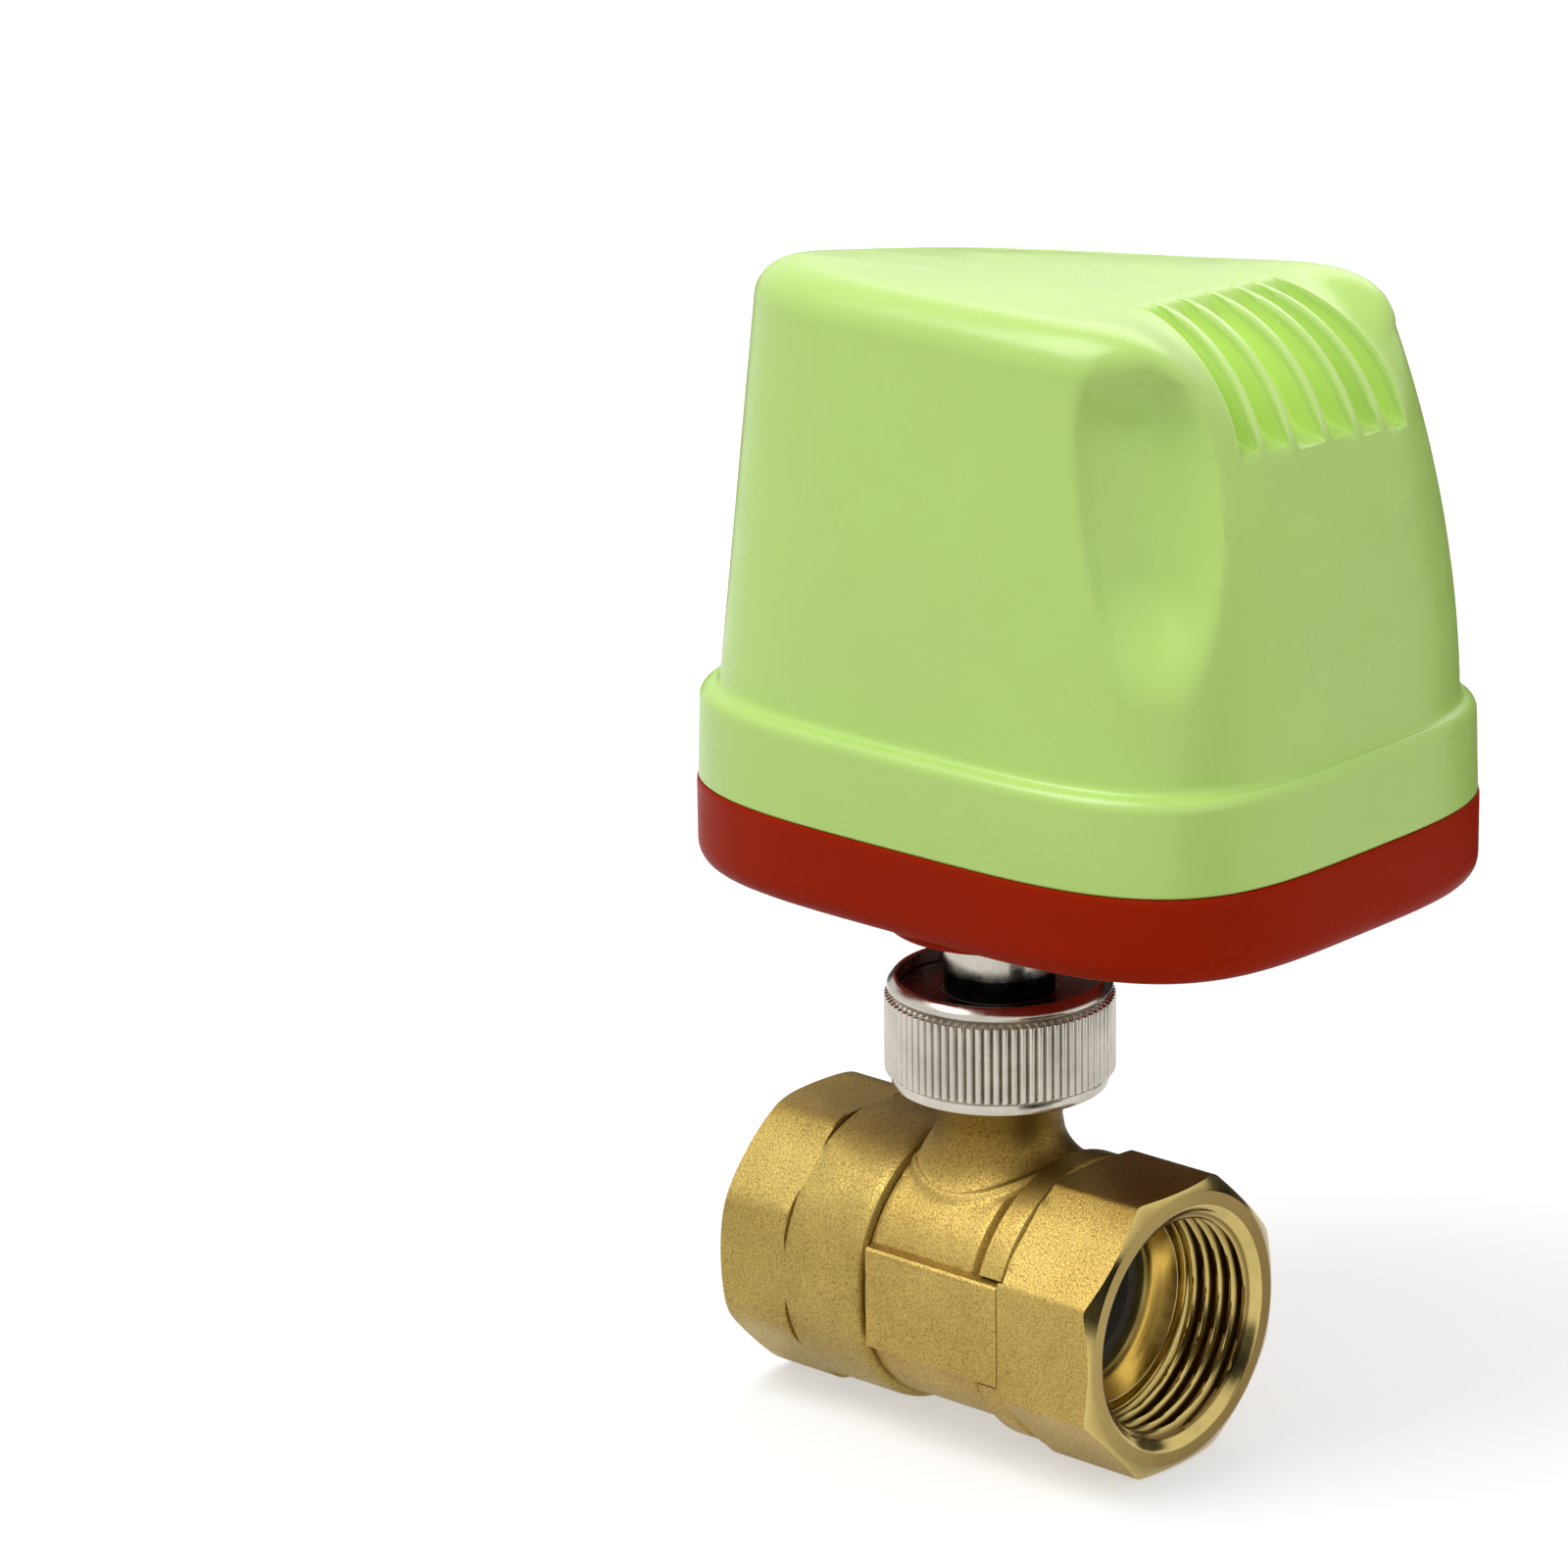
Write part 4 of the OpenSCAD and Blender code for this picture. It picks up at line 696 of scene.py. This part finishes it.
def bore_rows(reach, angle, hand):
    """Rows (place, radius) from the face of an end inwards: lead-in, helical pipe thread, shoulder,
    bevel and flow bore. The thread is r = THREAD_R + THREAD_RISE·(½ + ½·sin(2π·s/pitch ± a))^0.85, opened
    by the lead-in cone and fading out at its inner end. Hand is 1 or −1, the sign before a."""
    rows = [(reach, 14.9), (reach, 14.4), (reach, 13.98), (reach - 0.03, 13.9)]
    for s in np.arange(reach - 0.14, reach - 9.42, -0.13):
        fade = smooth((s - (reach - 9.4)) / 1.5)
        wave = 0.5 + 0.5 * np.sin(2 * np.pi * (s / THREAD_PITCH) + hand * angle)
        thread = THREAD_R + THREAD_RISE * fade * wave ** 0.85
        cone = 13.88 - (reach - s) * 1.3
        rows.append((s, np.maximum(thread, cone)))
    end = reach - 9.42
    rows += [(end, 12.0), (end, 11.2), (end, 10.95), (end - 0.08, 10.78), (end - 0.3, 10.68)]
    rows += [(end - 0.3 - 3.0 * t, 10.68 - 1.22 * t) for t in (0.25, 0.5, 0.75)]
    rows += [(end - 3.4, 9.42), (end - 3.8, FLOW_R)]
    return rows


def face_rows(reach, r):
    """Rows (place, radius, finish) along the flats up to the turned face: the corner chamfer is a cone,
    so its edge runs as a curve over each flat, at s = reach − 0.55·(r − FACE_R)."""
    edge = reach - 0.55 * (r - FACE_R)
    return [(edge - 0.9, r, 0), (edge - 0.2, r, 0), (edge, r, 1), (reach, FACE_R, 1)]


def seat_rows(end_rows):
    """Rows (place, radius, finish) from the flow bore over the pocket of a seat, then the last ones."""
    return [(s, r, 1) for s, r in [(11.8, 9.45), (11.8, POCKET_R), (9.0, POCKET_R), *end_rows]]


def row_arrays(rows, angle):
    """Places and radii of the rows as two grids, with a column for each angle."""
    return [np.array([np.broadcast_to(row[i], angle.shape) for row in rows]) for i in (0, 1)]


def pipe_grid(rows, angle, mirror=False):
    """Rows set round the pipe: x = place, or −place if mirrored, y = r·cos a, z = r·sin a."""
    s, r = row_arrays(rows, angle)
    return np.stack([-s if mirror else s, r * np.cos(angle), r * np.sin(angle)], -1)


def bore_tone(rows, reach, angle):
    """Tone, painted shade and highlight: −1 as painted shade in the bottoms of the thread, by the radius,
    +1 as a painted highlight on the bevel behind it, and a painted shade of −0.68 − 0.17·cos a on the face,
    darker to the back."""
    s, r = row_arrays(rows, angle)
    thread = smooth((r - THREAD_R + 0.02) / 0.75) * (s > reach - 9.4) * (s < reach - 0.9) * (r < 13.5)
    bevel = (s < reach - 9.4) * (s > reach - 13.0) * (r < 10.9) * (r > FLOW_R)
    face = (s > reach - 0.01) * (r > 13.95)
    return bevel - thread - face * (0.68 + 0.17 * np.cos(angle))


def pad_radius(angle):
    """Radius of the marking pad's outline about the pipe: the nearest of its flat face, its two level
    ledges and the two small chamfers between them, each d / cos(a − its own direction)."""
    diagonal = math.sqrt(0.5)
    sides = [(180, PAD_Y), (90, PAD_TOP), (270, -PAD_LOW), (135, (PAD_Y + PAD_TOP - PAD_EASE) * diagonal),
             (225, (PAD_Y - PAD_LOW - PAD_EASE) * diagonal)]
    reach = [d / np.maximum(np.cos(angle - math.radians(way)), 1e-3) for way, d in sides]
    return np.where(np.cos(angle) < -0.5, np.min(reach, 0), 0)


def pad_angles():
    """Angles of the ledges' feet on the barrel and of the corners of both chamfers."""
    spots = []
    for way, z in ((-1, PAD_TOP), (1, -PAD_LOW)):
        spots.append(180 + way * math.degrees(math.asin(z / BARREL_R)))
        spots += [180 + way * math.degrees(math.atan2(z - down, PAD_Y - back))
                  for down, back in ((0, PAD_EASE), (PAD_EASE, 0))]
    return spots


def with_pad(radius, angle, share):
    """Barrel radius with the pad laid over it, wherever the pad stands proud of the barrel."""
    pad = pad_radius(angle)
    proud = pad > BARREL_R - 0.01
    return np.where(proud, radius + (pad - radius) * share, radius)


def make_body():
    """Body as rings about the pipe, with the marking pad, the hole for the stem and the neck. As far as the
    collar its rows are (x, radius, share of the pad) until the pad is laid over them."""
    angle = pipe_columns(pad_angles())
    octo = octagon(angle, 90)
    spigot = [(-12.2, CAVITY_R), (-12.2, 14.4), (SEAM_X, 14.4), (-6.96, 14.55), (-6.94, 14.9),
              (-6.92, 15.15), (-6.86, 15.26), (-6.75, BARREL_R)]
    outer = [(x, r, 0) for x, r in spigot]
    outer += [(x, BARREL_R, 1) for x in (-6.1, -4.5, -2.0, 1.0, 4.0, 6.5, 7.2)]
    groove = [(7.45, 0.06), (7.65, 0.25), (7.85, 0.6), (8.05, 0.85), (8.4, 0.95), (8.85, 0.95), (9.05, 0.8)]
    outer += [(x, BARREL_R - dip, 1) for x, dip in groove]
    collar = [(9.2, 15.75), (9.3, 16.12), (9.5, COLLAR_R), (10.5, COLLAR_R), (11.9, COLLAR_R), (12.45, 16.24),
              (12.68, 15.98)]
    outer += [(x, r, 1) for x, r in collar]
    outer = [(x, with_pad(r, angle, on), 0) for x, r, on in outer]
    line = np.where(pad_radius(angle) > BARREL_R, octo - 0.2, np.minimum(octo, 15.85))
    outer += [(12.72, line, 0), (12.85, line + 0.05, 0), (12.95, np.minimum(octo, line + 0.6), 0),
              (13.0 + 0.4 * (octo - FLATS), octo, 0), (14.2, octo, 0), (19.0, octo, 0)]
    rows = outer + face_rows(FRONT_REACH, octo) + [(s, r, 1) for s, r in bore_rows(FRONT_REACH, angle, 1)]
    rows += seat_rows([(x, CAVITY_R) for x in (9.0, 4.0, -4.0, -11.9)])
    shell = Piece().rows(pipe_grid(rows, angle), [m for _, _, m in rows], loop=True,
                         tone=bore_tone(rows, FRONT_REACH, angle))
    shell = shell.build("brass_barrel", [body_brass, bright_brass], 27)
    shell = cut(shell, [post(5.9, 8.0, 14.8, (0, 0), 64), post(4.05, 8.0, 18.0, (0, 0), 64)])
    shell.data.set_sharp_from_angle(angle=math.radians(27))
    return joined(shell, neck_piece().build("brass_neck", [body_brass, bright_brass], 40))


def neck_piece():
    """Neck as rings of radius ρ and angle a: z = √(R² − (ρ·sin a)²) + f − √(f² − (F − ρ)²) over its
    fillet, with a faint ridge at its foot, and held at the seam's plane on the cap's side."""
    a = np.radians(np.arange(144) * 2.5)
    fillet = NECK_FOOT - NECK_FILLET * (1 - np.cos(np.radians(np.linspace(0, 90, 25))))
    rows = [ring(6.0, a, 13.9 - 0.012 * (6.0 * np.sin(a)) ** 2)]
    for i, rho in enumerate([NECK_FOOT, *fillet]):
        saddle = np.sqrt(BARREL_R ** 2 - (rho * np.sin(a)) ** 2)
        lift = NECK_FILLET - np.sqrt(np.maximum(NECK_FILLET ** 2 - (NECK_FILLET - (rho - NECK_R)) ** 2, 0))
        ridge = 0.3 * np.exp(-((rho - 9.75) / 0.38) ** 2)
        rows.append(ring(rho, a, saddle + (lift + ridge if i else -0.7)))
    cast = [(NECK_R, 20.5), (NECK_R, 24.0), (NECK_R, 25.9)]
    lathed = [(6.1, 26.02), (6.1, 27.18), (NECK_R, 27.3), (NECK_R, 28.6), (6.6, NECK_TOP), (4.45, NECK_TOP),
              (4.05, 28.7), (4.05, 20.0), (4.05, 14.2)]
    grid = np.array(rows + [ring(rho, a, z) for rho, z in cast + lathed])
    grid[..., 0] = np.maximum(grid[..., 0], SEAM_X + 0.03)
    finish = np.where(np.arange(len(grid)) < len(grid) - len(lathed), 0, 1)
    return Piece().rows(grid, finish, loop=True)


def make_cap():
    """End cap as rings about the pipe, mirrored to the left: its collar, octagon, face and bore."""
    angle = pipe_columns()
    octo = octagon(angle, 24)
    collar = [(7.0, 14.45), (7.0, 15.5), (7.08, 15.8), (7.3, 16.08), (7.7, 16.24), (8.2, COLLAR_R),
              (9.5, COLLAR_R), (13.0, COLLAR_R), (15.5, COLLAR_R)]
    rows = [(s, r, 0) for s, r in collar]
    rows += [(16.8, np.minimum(octo + 0.12, 16.33), 0), (17.8, np.minimum(octo, 16.36), 0),
             (17.95, np.minimum(octo, 16.2), 0), (18.03, np.minimum(octo, 16.2), 0),
             (18.08, np.minimum(octo, 16.6), 0), (18.12 + 0.2 * (octo - FLATS), octo, 0), (19.6, octo, 0),
             (23.0, octo, 0)]
    rows += face_rows(CAP_REACH, octo) + [(s, r, 1) for s, r in bore_rows(CAP_REACH, angle, -1)]
    rows += seat_rows([(9.0, 12.85), (13.0, 12.85), (13.0, 14.45)])
    piece = Piece().rows(pipe_grid(rows, angle, mirror=True), [m for _, _, m in rows], loop=True, flip=True,
                         tone=bore_tone(rows, CAP_REACH, angle))
    return piece.build("brass_cap", [cap_brass, bright_brass], 27)


# Coupling

def make_nut():
    """Nut turned about Z. Between its rims the radius grows by 0.1 + 0.62·(1 − |2s − 1|³), with s the
    place between two valleys, and this fades out at both ends."""
    ridges, steps = 80, 8
    columns = ridges * steps
    s = (np.arange(columns) % steps) / steps
    ridge = 0.62 * (1 - np.abs(2 * s - 1) ** 3)
    outside = [(11.55, 22.9), (11.8, 22.93), (12.0, 23.1), (12.05, 23.4), (12.05, 23.95), (12.0, 24.15),
               (11.9, 24.25)]
    knurl_z = np.concatenate([[24.3, 24.4, 24.5, 24.65, 24.9], np.linspace(25.5, 32.5, 10),
                              [33.0, 33.2, 33.35, 33.45, 33.55]])
    end = np.minimum(smooth((knurl_z - 24.25) / 0.45), smooth((33.6 - knurl_z) / 0.45))
    above = [(11.85, 33.65), (11.7, 33.75), (11.7, 33.95), (12.2, 34.0), (12.42, 34.08), (12.5, 34.25),
             (12.48, 34.45), (12.3, 34.72), (11.85, 35.22), (11.7, 35.36), (11.55, 35.4), (11.42, 35.38),
             (11.3, 35.2), (11.3, 34.9), (11.3, 30.0), (11.3, 26.0), (11.3, 25.8), (7.3, 25.8), (6.98, 25.5),
             (6.98, 23.3), (7.3, 22.9)]
    radii = [np.full(columns, r) for r, _ in outside] + [12.05 + (ridge + 0.1) * e for e in end]
    radii += [np.full(columns, r) for r, _ in above]
    heights = [z for _, z in outside] + list(knurl_z) + [z for _, z in above]
    a = np.radians(np.arange(columns) * 360 / columns)
    piece = Piece().rows(ring(np.array(radii), a, np.array(heights)[:, None]), loop=True)
    return piece.build("knurled_nut", [nickel], 30)


def make_sleeve():
    """Sleeve turned about Z: threaded ring below, plain tube, spigot with its circlip groove. Its foot,
    below 36.2 mm inside the nut's recess, is painted near black as painted shade."""
    profile = [(11.2, 27.6, 0.2)]
    for k in range(5):
        profile += [(10.7, 28.2 + k * 1.1, 0), (11.2, 28.75 + k * 1.1, 0)]
    profile += [(11.2, 33.6, 0.3), (6.2, 33.6, 0.35), (6.2, 36.0, 0), (6.2, 36.3, 0), (6.2, 41.5, 0.2),
                (5.4, 41.5, 0), (5.4, 46.8, 0), (4.9, 46.8, 0), (4.9, 47.7, 0), (5.4, 47.7, 0),
                (5.4, 49.3, 0.25), (4.26, 49.3, 0.2), (4.26, 29.8, 0), (7.05, 29.8, 0), (7.05, 27.6, 0.2)]
    path = eased(profile)
    # Painted shade: the sleeve's foot inside the nut's recess gets the near-black nickel.
    in_painted_shade = np.where((path[:, 1] < 36.2) & (path[:, 0] > 6), 1, 0)
    return Piece().rows(turned(path, 96), in_painted_shade, loop=True).build("plated_sleeve", [nickel, shaded_nickel], 30)


def make_gland():
    """Cable gland turned about its own axis. Its head is a hexagon 6.98·(Σ cosᵖ(a − 60°·k))^(−1/p) whose
    corners are turned off by a cone at both ends, over a rubber seal; above it is a thread of rings."""
    a = np.radians(np.arange(120) * 3.0)
    faces = np.clip(np.cos(a[:, None] - np.radians(np.arange(6) * 60.0)), 0, None)
    hexagon = 6.98 * (faces ** 140).sum(-1) ** (-1 / 140)
    rows = [(3.0, 40.4), (3.3, 39.6), (3.7, 39.3), (4.2, 39.22), (4.9, 39.3), (5.5, 39.6), (5.8, 40.1),
            (5.85, 40.5), (6.2, 40.6)]
    rows += [(np.minimum(hexagon, 6.6 + (z - 40.6) * 1.7), z) for z in (40.7, 40.9, 41.1, 41.3)]
    rows += [(np.minimum(hexagon, 6.6 + (44.1 - z) * 1.7), z) for z in (43.4, 43.6, 43.8, 44.0)]
    rows += [(6.5, 44.16), (5.95, 44.18)]
    for k in range(8):
        rows += [(5.72, 44.4 + 0.78 * k), (5.97, 44.79 + 0.78 * k)]
    rows += [(5.7, 50.66), (3.2, 50.68), (3.0, 50.4), (3.0, 45.0)]
    grid = np.array([ring(r, a, z, GLAND) for r, z in rows])
    seal = eased([(2.97, 39.8, 0.3), (2.97, 43.5, 0.3), (1.5, 43.0, 0.3), (1.5, 40.3, 0.3)])
    seal = turned(seal, 64, GLAND)
    piece = Piece().rows(grid, loop=True).rows(seal, 1, loop=True)
    return piece.build("moulded_gland", [black, SLOT_FINISH["seal"]], 28)


pieces = [
    (make_cover(), "cover", "green_cover", "valve"),
    (make_gland(), "cable_gland", "black_plastic", "valve"),
    (make_base(), "base_housing", "red_housing", "valve"),
    (make_body(), "valve_body", "brass", "valve"),
    (make_cap(), "end_cap", "cap_brass", "valve"),
    (make_nut(), "coupling_nut", "nickel", "nut"),
    (make_sleeve(), "adapter_sleeve", "nickel", "valve"),
]
for piece, node, slot, body in pieces:
    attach(piece, body)
    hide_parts(node)


# Floor, light and camera

def lamp(name, place, aim, size, power):
    """Square white area lamp at a place in metres that faces its aim."""
    data = bpy.data.lights.new(name, "AREA")
    data.energy, data.size = power, size
    obj = bpy.data.objects.new(name, data)
    bpy.context.scene.collection.objects.link(obj)
    obj.location = place
    gaze = Vector(aim) - Vector(place)
    obj.rotation_euler = gaze.to_track_quat("-Z", "Y").to_euler()
    return obj


def plain_seen(tree):
    """1 for camera, glossy and transmission rays, and 0 for the rays that light the surfaces."""
    path = tree.nodes.new("ShaderNodeLightPath").outputs
    seen = path["Is Camera Ray"]
    for name in ("Is Glossy Ray", "Is Transmission Ray"):
        seen = add_node(tree, "ShaderNodeMath", {0: seen, 1: path[name]}, operation="MAXIMUM").outputs[0]
    return seen


def panel(name, corners, colour, glow=(0.0, 0.0)):
    """Flat stage panel in metres, with a diffuse colour and a glow for the rays that look at it, from
    its level near the object to its level a metre away."""
    mesh = bpy.data.meshes.new(name)
    mesh.from_pydata(corners, [], [(0, 1, 2, 3)])
    obj = bpy.data.objects.new(name, mesh)
    bpy.context.scene.collection.objects.link(obj)
    material = bpy.data.materials.new(name)
    material.use_nodes = True
    tree = material.node_tree
    tree.nodes.remove(tree.nodes["Principled BSDF"])
    diffuse = add_node(tree, "ShaderNodeBsdfDiffuse", {"Color": (*colour, 1)})
    place = tree.nodes.new("ShaderNodeTexCoord").outputs["Object"]
    far = add_node(tree, "ShaderNodeVectorMath", {0: place}, operation="LENGTH").outputs["Value"]
    level = add_node(tree, "ShaderNodeMapRange", {"Value": far, "From Min": 0.15, "From Max": 1.0,
                                                  "To Min": glow[0], "To Max": glow[1]}).outputs["Result"]
    seen = add_node(tree, "ShaderNodeMath", {0: plain_seen(tree), 1: level}, operation="MULTIPLY")
    shine = add_node(tree, "ShaderNodeEmission", {"Strength": seen.outputs[0]})
    both = add_node(tree, "ShaderNodeAddShader", {0: diffuse.outputs[0], 1: shine.outputs[0]})
    tree.links.new(both.outputs[0], tree.nodes["Material Output"].inputs["Surface"])
    mesh.materials.append(material)
    return obj


def dark_card(name, start, end, low, high):
    """Upright studio card between two places in plan and two heights. Only gloss sees it: it gives the
    metal its dark reflections."""
    corners = [(*start, low), (*end, low), (*end, high), (*start, high)]
    card = panel(name, corners, (0.03, 0.03, 0.03))
    card.visible_camera = card.visible_diffuse = card.visible_shadow = False


def make_world():
    """White for the camera, for gloss and for glass; a softer level lights the surfaces."""
    world = bpy.data.worlds.new("studio")
    bpy.context.scene.world = world
    world.use_nodes = True
    tree = world.node_tree
    tree.nodes.remove(tree.nodes["Background"])
    soft, bright = [add_node(tree, "ShaderNodeBackground", {"Color": (1, 1, 1, 1), "Strength": strength})
                    for strength in (0.47, 1.0)]
    mix = add_node(tree, "ShaderNodeMixShader", {0: plain_seen(tree), 1: soft.outputs[0],
                                                 2: bright.outputs[0]})
    tree.links.new(mix.outputs[0], tree.nodes["World Output"].inputs["Surface"])


FLOOR_Z = -16.36 * MM
panel("floor", [(-3, -3, FLOOR_Z), (3, -3, FLOOR_Z), (3, 3, FLOOR_Z), (-3, 3, FLOOR_Z)],
      (0.55, 0.55, 0.55), (0.5, 0.85))
dark_card("back_card", (-0.4, 0.16), (0.1, 0.16), -0.01, 0.11)
dark_card("side_card", (0.4, -0.15), (0.4, 0.11), -0.016, 0.1)
dark_card("port_card", (0.113, -0.068), (0.136, 0.004), -0.012, 0.065)
make_world()
lamp("key", (-0.22, -0.33, 0.78), (0.0, 0.01, 0.06), 0.5, 4.3)
fill = lamp("fill", (0.75, -0.22, 0.35), (0.0, 0.01, 0.05), 0.7, 1.7)
fill.visible_glossy = False
lamp("top", (-0.2, 0.45, 0.6), (0.0, 0.02, 0.1), 0.5, 1.7)

view = bpy.data.cameras.new("camera")
view.sensor_width = 36.0
view.lens = 149.14
view.shift_x, view.shift_y = -0.1944, 0.0519
view.clip_start, view.clip_end = 0.01, 20.0
camera = bpy.data.objects.new("camera", view)
bpy.context.scene.collection.objects.link(camera)
camera.location = (0.43535, -0.51204, 0.27195)
camera.rotation_euler = (math.radians(71.55), 0.0, math.radians(39.54))
bpy.context.scene.camera = camera
bpy.context.scene.view_settings.view_transform = "Standard"
